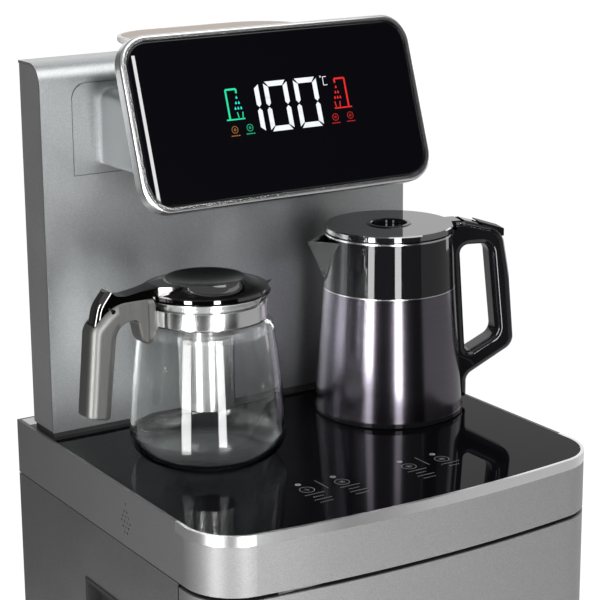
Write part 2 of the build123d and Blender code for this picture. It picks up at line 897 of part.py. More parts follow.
# Pump on the deck below the column: its inlet hangs into the bay, its outlet points straight up
with BuildPart() as pump:
    with Locations((0, riser_y, deck_top)):
        Box(pump_head, 2 * pump_radius, 2 * pump_radius, align=(Align.CENTER, Align.CENTER, Align.MIN))
    with BuildSketch(Plane.YZ.offset(-pump_head / 2)):
        with Locations((riser_y, deck_top + pump_radius)):
            Circle(pump_radius)
    extrude(amount=-pump_length)
    with BuildSketch(Plane.XY.offset(deck_bottom - inlet_length)):
        with Locations((0, riser_y)):
            Circle(nipple_radius)
    extrude(amount=ledge_top - deck_bottom + inlet_length)
pump.part.label = "pump"
export_step(pump.part, "parts/pump.step")

# Column foot: a dark frame across the worktop that the column stands in
inner_half = half_width - band_wall - fit_gap
foot_rear = column_back + foot_margin

with BuildPart() as column_foot:
    with BuildSketch(Plane.XY.offset(ledge_top)):
        with Locations((0, (glass_rear + foot_rear) / 2)):
            Rectangle(2 * inner_half, foot_rear - glass_rear)
    extrude(amount=glass_thickness)
    with BuildSketch(Plane.XY.offset(worktop_height)):
        with Locations((0, (column_front + column_back) / 2)):
            Rectangle(column_width - 2 * foot_plinth_inset, column_depth - 2 * foot_plinth_inset)
    extrude(amount=column_rise)
    with BuildSketch(Plane.XY.offset(ledge_top)):
        with Locations((0, glass_rear)):
            Rectangle(2 * (inner_half - lip_width - fit_gap), 2 * foot_lip_depth)
    extrude(amount=-ledge_thickness)
    with BuildSketch(Plane.XY.offset(column_foot_z)):
        with Locations((0, (column_front + column_back) / 2)):
            Rectangle(foot_opening_width, column_depth - 2 * foot_opening_inset)
    extrude(amount=ledge_top - ledge_thickness - column_foot_z, mode=Mode.SUBTRACT)
column_foot.part.label = "column_foot"
export_step(column_foot.part, "parts/column_foot.step")

with BuildPart() as rear_deck:
    with BuildSketch(Plane.XY.offset(ledge_top)):
        with Locations((0, (foot_rear + rear_y - band_wall) / 2)):
            Rectangle(2 * inner_half, rear_y - band_wall - foot_rear)
    extrude(amount=glass_thickness)
rear_deck.part.label = "rear_deck"
export_step(rear_deck.part, "parts/rear_deck.step")

# Column: one skin folded over the top, two end panels set into it and a flat back
column_side = Plane(origin=(-column_width / 2, 0, 0), x_dir=(0, 1, 0), z_dir=(1, 0, 0))


def column_profile(inset, back, mode=Mode.ADD):
    """Side view of the column, set in at its front and top, with the rounded front shoulder."""
    front = column_front + inset
    top = column_top - inset
    bend = shoulder_radius - inset
    crown = (front + bend * (1 - cos(radians(45))), top - bend * (1 - sin(radians(45))))
    with BuildLine() as edge:
        Polyline(
            (front, top - bend),
            (front, column_foot_z),
            (back, column_foot_z),
            (back, top),
            (front + bend, top),
        )
        ThreePointArc((front + bend, top), crown, (front, top - bend))
    make_face(edge.edges(), mode=mode)


def head_plate(grow, mode=Mode.ADD):
    """Front view of the plate that closes the column's cut-out: square below, rounded above."""
    half = plate_width / 2 + grow
    low = plate_bottom - grow
    high = plate_bottom + plate_height + grow
    bend = plate_corner + grow
    rounded_outline([(-half, low), (half, low), (half, high), (-half, high)], [0, 0, bend, bend], mode)


with BuildPart() as column_skin:
    with BuildSketch(column_side):
        column_profile(0, column_back)
        column_profile(column_skin_thickness, column_back + column_depth, Mode.SUBTRACT)
    extrude(amount=column_width)
    with BuildSketch(front_plane):
        head_plate(plate_seam)
    extrude(amount=-column_skin_thickness, mode=Mode.SUBTRACT)
column_skin.part.label = "column_skin"
export_step(column_skin.part, "parts/column_skin.step")

with BuildPart() as column_ends:
    with BuildSketch(column_side.offset(end_panel_inset)):
        column_profile(column_skin_thickness, column_back)
    extrude(amount=end_panel_thickness)
    mirror(about=Plane.YZ)
column_ends.part.label = "column_ends"
export_step(column_ends.part, "parts/column_ends.step")

# Hot tank in the column, on a shelf that is folded from the column's back
tank_bottom = worktop_height + tank_height_above_worktop
tank_top = tank_bottom + tank_height
tank_y = column_front + 2 * column_skin_thickness + tank_radius + fit_gap
back_inner = column_back - column_skin_thickness
shelf_front = tank_y - tank_radius

with BuildPart() as column_back_panel:
    with BuildSketch(Plane.XZ.offset(-back_inner)):
        with Locations((0, (column_foot_z + column_top - column_skin_thickness) / 2)):
            Rectangle(2 * end_panel_x, column_top - column_skin_thickness - column_foot_z)
        with Locations((0, (tank_bottom + tank_top) / 2)):
            Rectangle(2 * (tank_radius + fit_gap), tank_height + 2 * fit_gap, mode=Mode.SUBTRACT)
    extrude(amount=-column_skin_thickness)
    with BuildSketch(Plane.XY.offset(tank_bottom - shelf_thickness)):
        with Locations((0, (shelf_front + back_inner) / 2)):
            Rectangle(shelf_width, back_inner - shelf_front)
        with Locations((0, riser_y)):
            Circle(nipple_radius + fit_gap, mode=Mode.SUBTRACT)
    extrude(amount=shelf_thickness)
column_back_panel.part.label = "column_back_panel"
export_step(column_back_panel.part, "parts/column_back_panel.step")

with BuildPart() as hot_tank:
    with BuildSketch(Plane.XY.offset(tank_bottom)):
        with Locations((0, tank_y)):
            Circle(tank_radius)
    extrude(amount=tank_height)
    chamfer(hot_tank.edges().group_by(Axis.Z)[-1], tank_chamfer)
    with BuildSketch(Plane.XY.offset(tank_top)):
        with Locations((-nipple_offset, tank_y), (nipple_offset, tank_y)):
            Circle(nipple_radius)
    extrude(amount=nipple_length)
    with BuildSketch(Plane.XY.offset(tank_bottom)):
        with Locations((0, riser_y)):
            Circle(nipple_radius)
    extrude(amount=-nipple_length)
hot_tank.part.label = "hot_tank"
export_step(hot_tank.part, "parts/hot_tank.step")

# Rear housing over the tank, standing behind the column on the worktop
with BuildPart() as rear_housing:
    with BuildSketch(Plane.XY.offset(worktop_height)):
        half = housing_width / 2
        rounded_outline(
            [(-half, column_back), (half, column_back), (half, rear_y), (-half, rear_y)],
            [0, 0, housing_corner, housing_corner],
        )
        inner = half - housing_wall
        inner_corner = housing_corner - housing_wall
        rounded_outline(
            [
                (-inner, column_back),
                (inner, column_back),
                (inner, rear_y - housing_wall),
                (-inner, rear_y - housing_wall),
            ],
            [0, 0, inner_corner, inner_corner],
            Mode.SUBTRACT,
        )
    extrude(amount=column_height)
    with BuildSketch(rear_plane.offset(sheet)):
        with Locations((0, tank_top)):
            with GridLocations(vent_column_pitch, vent_pitch, 1, vent_rows):
                SlotOverall(vent_length, vent_width)
    extrude(amount=-2 * housing_wall, mode=Mode.SUBTRACT)
rear_housing.part.label = "rear_housing"
export_step(rear_housing.part, "parts/rear_housing.step")

# Cap: a rim with a raised plinth below it and a coloured inlay let into its top
cap_y = rear_y + cap_overhang - cap_width / 2
cap_bottom = column_top + cap_plinth_height
cap_top = cap_bottom + cap_thickness
plinth_front = column_front + shoulder_radius
plinth_y = plinth_front + cap_plinth_width / 2

with BuildPart() as cap_body:
    with BuildSketch(Plane.XY.offset(cap_bottom)):
        with Locations((0, cap_y)):
            SlotOverall(cap_length, cap_width)
    extrude(amount=cap_thickness)
    fillet(cap_body.edges().group_by(Axis.Z)[0], cap_low_round)
    fillet(cap_body.edges().group_by(Axis.Z)[-1], cap_high_round)
    with BuildSketch(Plane.XY.offset(cap_top)):
        with Locations((0, cap_y)):
            SlotOverall(cap_length - 2 * cap_rim, cap_width - 2 * cap_rim)
    extrude(amount=-inlay_thickness, mode=Mode.SUBTRACT)
    with BuildSketch(Plane.XY.offset(column_top)):
        with Locations((0, plinth_y)):
            RectangleRounded(cap_plinth_length, cap_plinth_width, cap_plinth_corner)
    extrude(amount=cap_plinth_height)
cap_body.part.label = "cap_body"
export_step(cap_body.part, "parts/cap_body.step")

with BuildPart() as cap_inlay:
    with BuildSketch(Plane.XY.offset(cap_top - inlay_thickness)):
        with Locations((0, cap_y)):
            SlotOverall(cap_length - 2 * (cap_rim + fit_gap), cap_width - 2 * (cap_rim + fit_gap))
    extrude(amount=inlay_thickness)
cap_inlay.part.label = "cap_inlay"
export_step(cap_inlay.part, "parts/cap_inlay.step")

# Display head: a tilted screen on a hollow neck that carries the two outlets
tilt = radians(display_tilt)
display_plane = Plane(
    origin=(0, column_front - display_reach, worktop_height + display_centre_height),
    x_dir=(1, 0, 0),
    z_dir=(0, -cos(tilt), sin(tilt)),
)
display_axis = Axis(display_plane.origin, display_plane.z_dir)
head_depth = bezel_depth + back_thickness
nozzle_y = column_front - nozzle_reach
nozzle_xs = (kettle_x, teapot_x)
neck_bottom_z = worktop_height + neck_bottom
tube_level = neck_bottom_z + neck_wall + tube_rise


def screen_outline(grow, mode=Mode.ADD):
    """Rounded rectangle of the screen, grown or shrunk all round."""
    RectangleRounded(
        display_width + 2 * grow, display_height + 2 * grow, display_corner + grow, mode=mode
    )


def neck_outline(inset, mode=Mode.ADD):
    """Front view of the neck, set in all round."""
    half = neck_width / 2 - inset
    low = neck_bottom + inset
    high = neck_bottom + neck_height - inset
    lower = neck_bottom_corner - inset
    upper = neck_top_corner - inset
    rounded_outline(
        [(-half, low), (half, low), (half, high), (-half, high)], [lower, lower, upper, upper], mode
    )


with BuildPart() as head_arm:
    with BuildSketch(front_plane):
        neck_outline(0)
        neck_outline(neck_wall, Mode.SUBTRACT)
    extrude(amount=display_reach + display_height / 2)
    split(bisect_by=display_plane.offset(-head_depth), keep=Keep.BOTTOM)
    with BuildSketch(front_plane.offset(-column_skin_thickness)):
        head_plate(0)
    extrude(amount=column_skin_thickness)
    with BuildSketch(front_plane.offset(-column_skin_thickness)):
        with Locations((0, plate_bottom - plate_flange)):
            Rectangle(
                plate_width + 2 * plate_flange,
                plate_height + plate_flange - plate_corner,
                align=(Align.CENTER, Align.MIN),
            )
    extrude(amount=-column_skin_thickness)
    with BuildSketch(front_plane):
        with Locations((0, tube_level - worktop_height)):
            Rectangle(2 * (nipple_offset + tube_window_margin), 2 * tube_window_margin)
    extrude(amount=-2 * column_skin_thickness, mode=Mode.SUBTRACT)
    with BuildSketch(Plane.XY.offset(neck_bottom_z)):
        with Locations(*[(x, nozzle_y) for x in nozzle_xs]):
            Circle(nipple_radius + fit_gap)
    extrude(amount=neck_wall, mode=Mode.SUBTRACT)
head_arm.part.label = "head_arm"
export_step(head_arm.part, "parts/head_arm.step")

with BuildPart() as outlet_nozzles:
    with BuildSketch(Plane.XY.offset(neck_bottom_z)):
        with Locations(*[(x, nozzle_y) for x in nozzle_xs]):
            Circle(nozzle_boss_radius)
    extrude(amount=-nozzle_boss_height)
    with BuildSketch(Plane.XY.offset(neck_bottom_z)):
        with Locations(*[(x, nozzle_y) for x in nozzle_xs]):
            Circle(nozzle_radius)
    extrude(amount=-nozzle_length)
    chamfer(outlet_nozzles.edges().group_by(Axis.Z)[0], nozzle_chamfer)
    with BuildSketch(Plane.XY.offset(neck_bottom_z)):
        with Locations(*[(x, nozzle_y) for x in nozzle_xs]):
            Circle(nipple_radius)
    extrude(amount=neck_wall + nozzle_boss_height)
    with BuildSketch(Plane.XY.offset(neck_bottom_z - nozzle_length)):
        with Locations(*[(x, nozzle_y) for x in nozzle_xs]):
            Circle(nozzle_bore)
    extrude(amount=nozzle_length - nozzle_boss_height, mode=Mode.SUBTRACT)
outlet_nozzles.part.label = "outlet_nozzles"
export_step(outlet_nozzles.part, "parts/outlet_nozzles.step")

with BuildPart() as display_bezel:
    with BuildSketch(display_plane.offset(-bezel_depth)):
        screen_outline(display_lip)
    extrude(amount=bezel_depth + bezel_proud)
    fillet(display_bezel.faces().sort_by(display_axis)[-1].edges(), bezel_round)
    with BuildSketch(display_plane.offset(-display_glass_thickness)):
        screen_outline(fit_gap)
    extrude(amount=display_glass_thickness + bezel_proud, mode=Mode.SUBTRACT)
    with BuildSketch(display_plane.offset(-bezel_depth)):
        screen_outline(-bezel_ledge)
    extrude(amount=bezel_depth, mode=Mode.SUBTRACT)
    with BuildSketch(display_plane.offset(-bezel_depth)):
        screen_outline(0)
    extrude(
        amount=bezel_depth - display_glass_thickness - bezel_ledge_thickness, mode=Mode.SUBTRACT
    )
display_bezel.part.label = "display_bezel"
export_step(display_bezel.part, "parts/display_bezel.step")

with BuildPart() as display_glass:
    with BuildSketch(display_plane.offset(-display_glass_thickness)):
        screen_outline(0)
    extrude(amount=display_glass_thickness)
    fillet(display_glass.faces().sort_by(display_axis)[-1].edges(), display_glass_thickness / 2)
display_glass.part.label = "display_glass"
export_step(display_glass.part, "parts/display_glass.step")

post_grid = (display_width - 2 * display_corner, display_height - 2 * display_corner, 2, 2)
pocket_floor = -bezel_depth - back_pocket

with BuildPart() as display_back:
    with BuildSketch(display_plane.offset(-head_depth)):
        screen_outline(display_lip - back_inset)
    extrude(amount=back_thickness)
    fillet(display_back.faces().sort_by(display_axis)[0].edges(), back_thickness / 2)
    with BuildSketch(display_plane.offset(pocket_floor)):
        screen_outline(-bezel_ledge)
    extrude(amount=back_pocket, mode=Mode.SUBTRACT)
    with BuildSketch(display_plane.offset(pocket_floor)):
        with GridLocations(*post_grid):
            Circle(board_post_radius)
    extrude(amount=display_post_height)
    with BuildSketch(display_plane.offset(-head_depth)):
        Rectangle(2 * tube_window_margin, tube_window_margin)
    extrude(amount=back_thickness, mode=Mode.SUBTRACT)
display_back.part.label = "display_back"
export_step(display_back.part, "parts/display_back.step")

display_board_seat = pocket_floor + display_post_height
module_top = -display_glass_thickness - fit_gap

with BuildPart() as display_board:
    with BuildSketch(display_plane.offset(display_board_seat)):
        screen_outline(-bezel_ledge)
    extrude(amount=board_thickness)
    with BuildSketch(display_plane.offset(display_board_seat + board_thickness)):
        Rectangle(module_width, module_height)
    extrude(amount=module_top - display_board_seat - board_thickness)
display_board.part.label = "display_board"
export_step(display_board.part, "parts/display_board.step")

# Water tubes: pump to tank, and tank to each outlet through the neck
tank_outlet_z = tank_top + nipple_length
nozzle_inlet_z = neck_bottom_z + neck_wall + nozzle_boss_height

with BuildPart() as water_tubes:
    with BuildSketch(Plane.XY.offset(ledge_top)):
        with Locations((0, riser_y)):
            Circle(tube_radius)
    extrude(amount=tank_bottom - nipple_length - ledge_top)
    for start_x, end_x in zip((nipple_offset, -nipple_offset), nozzle_xs):
        with BuildLine() as route:
            FilletPolyline(
                (start_x, tank_y, tank_outlet_z),
                (start_x, tank_y, tube_level),
                (start_x, column_front - tube_turn, tube_level),
                (end_x, nozzle_y + tube_turn, tube_level),
                (end_x, nozzle_y, tube_level),
                (end_x, nozzle_y, nozzle_inlet_z),
                radius=tube_bend,
            )
        with BuildSketch(Plane.XY.offset(tank_outlet_z)):
            with Locations((start_x, tank_y)):
                Circle(tube_radius)
        sweep(path=route.line)
water_tubes.part.label = "water_tubes"
export_step(water_tubes.part, "parts/water_tubes.step")

# Door: a curved skin on a thick liner, hung on two pins at its right edge
pull_low = pull_middle_height - pull_height / 2


def pull_pocket(mode):
    """Plan of the finger pull at the door's free edge."""
    with Locations((-half_width, door_edge_y)):
        Rectangle(2 * pull_depth, 2 * pull_width, mode=mode)


with BuildPart() as door_skin:
    with BuildSketch(Plane.XY.offset(door_bottom)):
        cabinet_plan(0)
        cabinet_plan(door_skin_thickness, Mode.SUBTRACT)
        plan_ahead_of(door_edge_y, Mode.INTERSECT)
    extrude(amount=door_top - door_bottom)
    with BuildSketch(Plane.XY.offset(pull_low)):
        pull_pocket(Mode.ADD)
    extrude(amount=pull_height, mode=Mode.SUBTRACT)
door_skin.part.label = "door_skin"
export_step(door_skin.part, "parts/door_skin.step")

pin_hole_depth = hinge_pin_engagement + hinge_hole_spare

with BuildPart() as door_liner:
    with BuildSketch(Plane.XY.offset(door_bottom)):
        cabinet_plan(door_skin_thickness)
        cabinet_plan(door_skin_thickness + door_liner_thickness, Mode.SUBTRACT)
        plan_ahead_of(door_edge_y, Mode.INTERSECT)
    extrude(amount=door_top - door_bottom)
    with BuildSketch(Plane.XY.offset(pull_low)):
        pull_pocket(Mode.ADD)
    extrude(amount=pull_height, mode=Mode.SUBTRACT)
    for level, depth in ((door_bottom, pin_hole_depth), (door_top, -pin_hole_depth)):
        with BuildSketch(Plane.XY.offset(level)):
            with Locations((pivot_x, pivot_y)):
                Circle(hinge_pin_radius + hinge_clearance)
        extrude(amount=depth, mode=Mode.SUBTRACT)
door_liner.part.label = "door_liner"
export_step(door_liner.part, "parts/door_liner.step")

pin_length = door_gap + hinge_pin_engagement

with BuildPart() as hinge_pins:
    for level, length in ((skirt_top, pin_length), (band_bottom, -pin_length)):
        with BuildSketch(Plane.XY.offset(level)):
            with Locations((pivot_x, pivot_y)):
                Circle(hinge_pin_radius)
        extrude(amount=length)
hinge_pins.part.label = "hinge_pins"
export_step(hinge_pins.part, "parts/hinge_pins.step")

with BuildPart() as door_pull:
    with BuildSketch(Plane.XY.offset(pull_low)):
        cabinet_plan(0)
        pull_pocket(Mode.INTERSECT)
        plan_ahead_of(door_edge_y, Mode.INTERSECT)
    extrude(amount=pull_height)
    with BuildSketch(Plane.XY.offset(pull_low + pull_wall)):
        with Locations((-half_width, door_edge_y - pull_width / 2)):
            Rectangle(2 * (pull_depth - pull_wall), pull_width - 2 * pull_wall)
    extrude(amount=pull_height - 2 * pull_wall, mode=Mode.SUBTRACT)
door_pull.part.label = "door_pull"
export_step(door_pull.part, "parts/door_pull.step")

catch_y = bow_centre_y - sqrt(front_radius**2 - catch_x**2) + catch_setback

with BuildPart() as door_magnet:
    with BuildSketch(Plane.XY.offset(band_bottom)):
        with Locations((catch_x, catch_y)):
            Rectangle(catch_length, catch_width)
    extrude(amount=catch_air_gap - door_gap)
door_magnet.part.label = "door_magnet"
export_step(door_magnet.part, "parts/door_magnet.step")

# Kettle: everything below is measured from the kettle's own base, its handle along +X
kettle_z = worktop_height + kettle_seat_gap
kettle_turn = radians(kettle_handle_angle)
kettle_origin = (kettle_x, kettle_y, kettle_z)
kettle_out = (cos(kettle_turn), sin(kettle_turn), 0)
kettle_frame = Plane(origin=kettle_origin, x_dir=kettle_out, z_dir=(0, 0, 1))
kettle_side = Plane(
    origin=kettle_origin,
    x_dir=kettle_out,
    z_dir=(sin(kettle_turn), -cos(kettle_turn), 0),
)
kettle_axis = Axis(kettle_origin, (0, 0, 1))
socket_inner = hub_radius + hub_gap
socket_outer = socket_inner + socket_wall
socket_top = socket_low + socket_depth
heater_top = socket_top + socket_roof + heater_thickness
rim_top = kettle_rim_height + rim_thickness
lid_bottom = rim_top + lid_gap
lid_top = lid_bottom + lid_thickness
lid_pivot_height = lid_top - lid_pivot_below_top

with BuildPart() as kettle_base:
    with BuildSketch(kettle_side):
        outline(
            (socket_outer, base_plate_low),
            (kettle_base_radius - base_rim_width, base_plate_low),
            (kettle_base_radius - base_rim_width, 0),
            (kettle_base_radius - lid_edge, 0),
            (kettle_base_radius, lid_edge),
            (kettle_base_radius, kettle_base_height),
            (socket_outer, kettle_base_height),
        )
    revolve(axis=kettle_axis)
kettle_base.part.label = "kettle_base"
export_step(kettle_base.part, "parts/kettle_base.step")

with BuildPart() as kettle_heater:
    with BuildSketch(kettle_side):
        outline(
            (0, socket_top),
            (socket_inner, socket_top),
            (socket_inner, socket_low),
            (socket_outer, socket_low),
            (socket_outer, socket_top + socket_roof),
            (heater_radius, socket_top + socket_roof),
            (heater_radius, heater_top),
            (0, heater_top),
        )
    revolve(axis=kettle_axis)
kettle_heater.part.label = "kettle_heater"
export_step(kettle_heater.part, "parts/kettle_heater.step")

shell_foot_radius = kettle_base_radius - shell_step

with BuildPart() as kettle_shell:
    with BuildSketch(kettle_side):
        outline(
            (shell_foot_radius, kettle_base_height),
            (kettle_seam_radius, kettle_seam_height),
            (kettle_seam_radius - kettle_shell_wall, kettle_seam_height),
            (shell_foot_radius - kettle_shell_wall, kettle_base_height),
        )
    revolve(axis=kettle_axis)
kettle_shell.part.label = "kettle_shell"
export_step(kettle_shell.part, "parts/kettle_shell.step")

liner_top_radius = kettle_rim_radius - kettle_collar_wall - fit_gap
spout_tip = (spout_tip_reach, spout_tip_height)
spout_low = (spout_low_reach, spout_low_height)
spout_root = (spout_root_reach, spout_root_half, spout_root_height)
spout_hollow = pouring_lip(spout_tip, spout_low, spout_root, spout_wall, spout_throat)

with BuildPart(kettle_frame) as kettle_collar:
    with BuildSketch(kettle_side):
        outline(
            (kettle_seam_radius, kettle_seam_height),
            (kettle_rim_radius, kettle_rim_height),
            (kettle_rim_radius - kettle_collar_wall, kettle_rim_height),
            (kettle_seam_radius - kettle_collar_wall, kettle_seam_height),
        )
    revolve(axis=kettle_axis)
    ConvexPolyhedron(spout_hollow, mode=Mode.SUBTRACT)
kettle_collar.part.label = "kettle_collar"
export_step(kettle_collar.part, "parts/kettle_collar.step")

with BuildPart(kettle_frame) as kettle_liner:
    with BuildSketch(kettle_side):
        outline(
            (0, heater_top),
            (liner_foot_radius, heater_top),
            (liner_top_radius, kettle_rim_height),
            (kettle_rim_radius + rim_proud, kettle_rim_height),
            (kettle_rim_radius + rim_proud, rim_top),
            (liner_top_radius - liner_wall, rim_top),
            (liner_foot_radius - liner_wall, heater_top + liner_wall),
            (0, heater_top + liner_wall),
        )
    revolve(axis=kettle_axis)
    ConvexPolyhedron(spout_hollow, mode=Mode.SUBTRACT)
kettle_liner.part.label = "kettle_liner"
export_step(kettle_liner.part, "parts/kettle_liner.step")

kettle_silhouette = [
    (0, -kettle_base_height),
    (kettle_base_radius, -kettle_base_height),
    (kettle_base_radius, kettle_base_height),
    (shell_foot_radius, kettle_base_height),
    (kettle_seam_radius, kettle_seam_height),
    (kettle_rim_radius, kettle_rim_height),
    (kettle_rim_radius + rim_proud, kettle_rim_height),
    (kettle_rim_radius + rim_proud, rim_top),
    (0, rim_top),
]

with BuildPart(kettle_frame) as kettle_spout:
    ConvexPolyhedron(pouring_lip(spout_tip, spout_low, spout_root, 0, spout_wall))
    ConvexPolyhedron(spout_hollow, mode=Mode.SUBTRACT)
    with BuildSketch(kettle_side):
        outline(*kettle_silhouette)
    revolve(axis=kettle_axis, mode=Mode.SUBTRACT)
kettle_spout.part.label = "kettle_spout"
export_step(kettle_spout.part, "parts/kettle_spout.step")

# Kettle lid with its plug, hinge tab and self-closing fill hole
tab_half = lid_tab_width / 2

with BuildPart(kettle_frame) as kettle_lid:
    with BuildSketch(kettle_side):
        outline(
            (fill_hole_radius, lid_bottom),
            (plug_radius - plug_wall, lid_bottom),
            (plug_radius - plug_wall, lid_bottom - plug_depth),
            (plug_radius, lid_bottom - plug_depth),
            (plug_radius, lid_bottom),
            (lid_radius - lid_edge, lid_bottom),
            (lid_radius, lid_bottom + lid_edge),
            (lid_radius, lid_top - lid_edge),
            (lid_radius - lid_edge, lid_top),
            (fill_hole_radius, lid_top),
        )
    revolve(axis=kettle_axis)
    with BuildSketch(kettle_side):
        rounded_outline(
            [
                (plug_radius, lid_bottom),
                (lid_tab_reach, lid_bottom),
                (lid_tab_reach, lid_top),
                (plug_radius, lid_top),
            ],
            [0, lid_tab_reach - lid_pivot_reach, lid_tab_reach - lid_pivot_reach, 0],
        )
    extrude(amount=tab_half, both=True)
    with BuildSketch(kettle_side):
        with Locations((lid_pivot_reach, lid_pivot_height)):
            Circle(lid_pin_radius + hinge_clearance)
    extrude(amount=tab_half, both=True, mode=Mode.SUBTRACT)
kettle_lid.part.label = "kettle_lid"
export_step(kettle_lid.part, "parts/kettle_lid.step")

fill_ring_outer = fill_hole_radius - fill_ring_clearance
fill_ring_inner = fill_ring_outer - fill_ring_wall
flap_radius = fill_ring_inner - flap_gap
flap_pivot_height = lid_bottom + flap_pivot_rise
trunnion_half = fill_ring_inner * sqrt(1 - (flap_pin_reach / fill_ring_inner) ** 2) + trunnion_grip

with BuildPart() as kettle_fill_ring:
    with BuildSketch(kettle_side):
        outline(
            (fill_ring_inner, lid_bottom - fill_ring_drop),
            (fill_ring_outer, lid_bottom - fill_ring_drop),
            (fill_ring_outer, lid_top),
            (fill_ring_outer + fill_ring_flange, lid_top),
            (fill_ring_outer, lid_top + fill_ring_height),
            (fill_ring_inner + fill_ring_height, lid_top + fill_ring_height),
            (fill_ring_inner, lid_top),
        )
    revolve(axis=kettle_axis)
    with BuildSketch(kettle_side):
        with Locations((flap_pin_reach, flap_pivot_height)):
            Circle(flap_pin_radius + hinge_clearance)
    extrude(amount=trunnion_half + fit_gap, both=True, mode=Mode.SUBTRACT)
kettle_fill_ring.part.label = "kettle_fill_ring"
export_step(kettle_fill_ring.part, "parts/kettle_fill_ring.step")

with BuildPart() as kettle_flap:
    with BuildSketch(kettle_frame.offset(flap_pivot_height - flap_thickness / 2)):
        Circle(flap_radius)
    extrude(amount=flap_thickness)
    with BuildSketch(kettle_side):
        with Locations((flap_pin_reach, flap_pivot_height)):
            Circle(flap_pin_radius + flap_knuckle_wall)
    extrude(amount=flap_knuckle_length / 2, both=True)
    with BuildSketch(kettle_side):
        with Locations((flap_pin_reach, flap_pivot_height)):
            Circle(flap_pin_radius)
    extrude(amount=trunnion_half, both=True)
kettle_flap.part.label = "kettle_flap"
export_step(kettle_flap.part, "parts/kettle_flap.step")

# Kettle handle: a closed D with two ears for the lid pin and a well for the button
ear_front = lid_radius + ear_clearance
handle_face = lid_tab_reach + tab_end_gap
ear_floor = lid_bottom - tab_end_gap
button_lift = button_travel + button_gap
stem_hole_bottom = button_top_far - button_stem_length - button_lift

with BuildPart() as kettle_handle:
    with BuildSketch(kettle_side):
        rounded_outline(
            [
                (strip_inside, strip_foot_height),
                (strip_foot_reach, strip_foot_height),
                (strip_foot_reach, handle_heel_height),
                (handle_elbow_reach, handle_elbow_height),
                (handle_back_reach, handle_back_height),
                (handle_tip_reach, handle_tip_height),
                (handle_face, lid_top),
                (strip_inside, lid_top),
            ],
            [
                0,
                handle_foot_round,
                handle_heel_round,
                handle_elbow_round,
                handle_back_round,
                handle_tip_round,
                0,
                0,
            ],
        )
        rounded_outline(
            [
                (grip_hole_near_top, grip_hole_top),
                (grip_hole_far_top, grip_hole_top),
                (grip_hole_far_bottom, grip_hole_far_height),
                (grip_hole_near_bottom, grip_hole_near_height),
            ],
            [
                grip_hole_near_top_round,
                grip_hole_far_top_round,
                grip_hole_far_bottom_round,
                grip_hole_near_bottom_round,
            ],
            Mode.SUBTRACT,
        )
    extrude(amount=handle_width / 2, both=True)
    fillet(kettle_handle.faces().filter_by(kettle_side).edges(), handle_round)
    with BuildSketch(kettle_side):
        outline(*kettle_silhouette)
    revolve(axis=kettle_axis, mode=Mode.SUBTRACT)
    with BuildSketch(kettle_side):
        outline((0, ear_floor), (ear_front, ear_floor), (ear_front, 2 * lid_top), (0, 2 * lid_top))
    extrude(amount=handle_width, both=True, mode=Mode.SUBTRACT)
    with BuildSketch(kettle_side):
        outline((0, ear_floor), (handle_face, ear_floor), (handle_face, 2 * lid_top), (0, 2 * lid_top))
    extrude(amount=tab_half + tab_side_gap, both=True, mode=Mode.SUBTRACT)
    with BuildSketch(kettle_side):
        with Locations((lid_pivot_reach, lid_pivot_height)):
            Circle(lid_pin_radius)
    extrude(amount=handle_width, both=True, mode=Mode.SUBTRACT)
    with BuildSketch(kettle_side):
        outline(
            (button_front, 2 * lid_top),
            (button_front, well_near_height),
            (well_far_reach, well_far_height),
            (2 * well_far_reach, well_far_height),
            (2 * well_far_reach, 2 * lid_top),
        )
    extrude(amount=button_width / 2 + button_gap, both=True, mode=Mode.SUBTRACT)
    with BuildSketch(kettle_frame.offset(well_near_height)):
        with Locations((button_stem_reach, 0)):
            Circle(button_stem_radius + fit_gap)
    extrude(amount=stem_hole_bottom - well_near_height, mode=Mode.SUBTRACT)
kettle_handle.part.label = "kettle_handle"
export_step(kettle_handle.part, "parts/kettle_handle.step")

with BuildPart() as kettle_lid_pin:
    with BuildSketch(kettle_side):
        with Locations((lid_pivot_reach, lid_pivot_height)):
            Circle(lid_pin_radius)
    extrude(amount=handle_width / 2, both=True)
kettle_lid_pin.part.label = "kettle_lid_pin"
export_step(kettle_lid_pin.part, "parts/kettle_lid_pin.step")

with BuildPart() as kettle_button:
    with BuildSketch(kettle_side):
        outline(
            (button_front + button_gap, button_top_near),
            (button_back_reach, button_top_far),
            (button_back_reach, well_far_height + button_lift),
            (well_far_reach, well_far_height + button_lift),
            (button_front + button_gap, well_near_height + button_lift),
        )
    extrude(amount=button_width / 2, both=True)
    with BuildSketch(kettle_frame.offset(button_top_far)):
        with Locations((button_stem_reach, 0)):
            Circle(button_stem_radius)
    extrude(amount=-button_stem_length)
kettle_button.part.label = "kettle_button"
export_step(kettle_button.part, "parts/kettle_button.step")

# Teapot: a glass jar with a steel collar, handle, hinged lid and hanging infuser
teapot_z = worktop_height + teapot_seat_gap
teapot_turn = radians(teapot_handle_angle)
teapot_origin = (teapot_x, teapot_y, teapot_z)
teapot_out = (cos(teapot_turn), sin(teapot_turn), 0)
teapot_frame = Plane(origin=teapot_origin, x_dir=teapot_out, z_dir=(0, 0, 1))
teapot_side = Plane(
    origin=teapot_origin,
    x_dir=teapot_out,
    z_dir=(sin(teapot_turn), -cos(teapot_turn), 0),
)
teapot_axis = Axis(teapot_origin, (0, 0, 1))


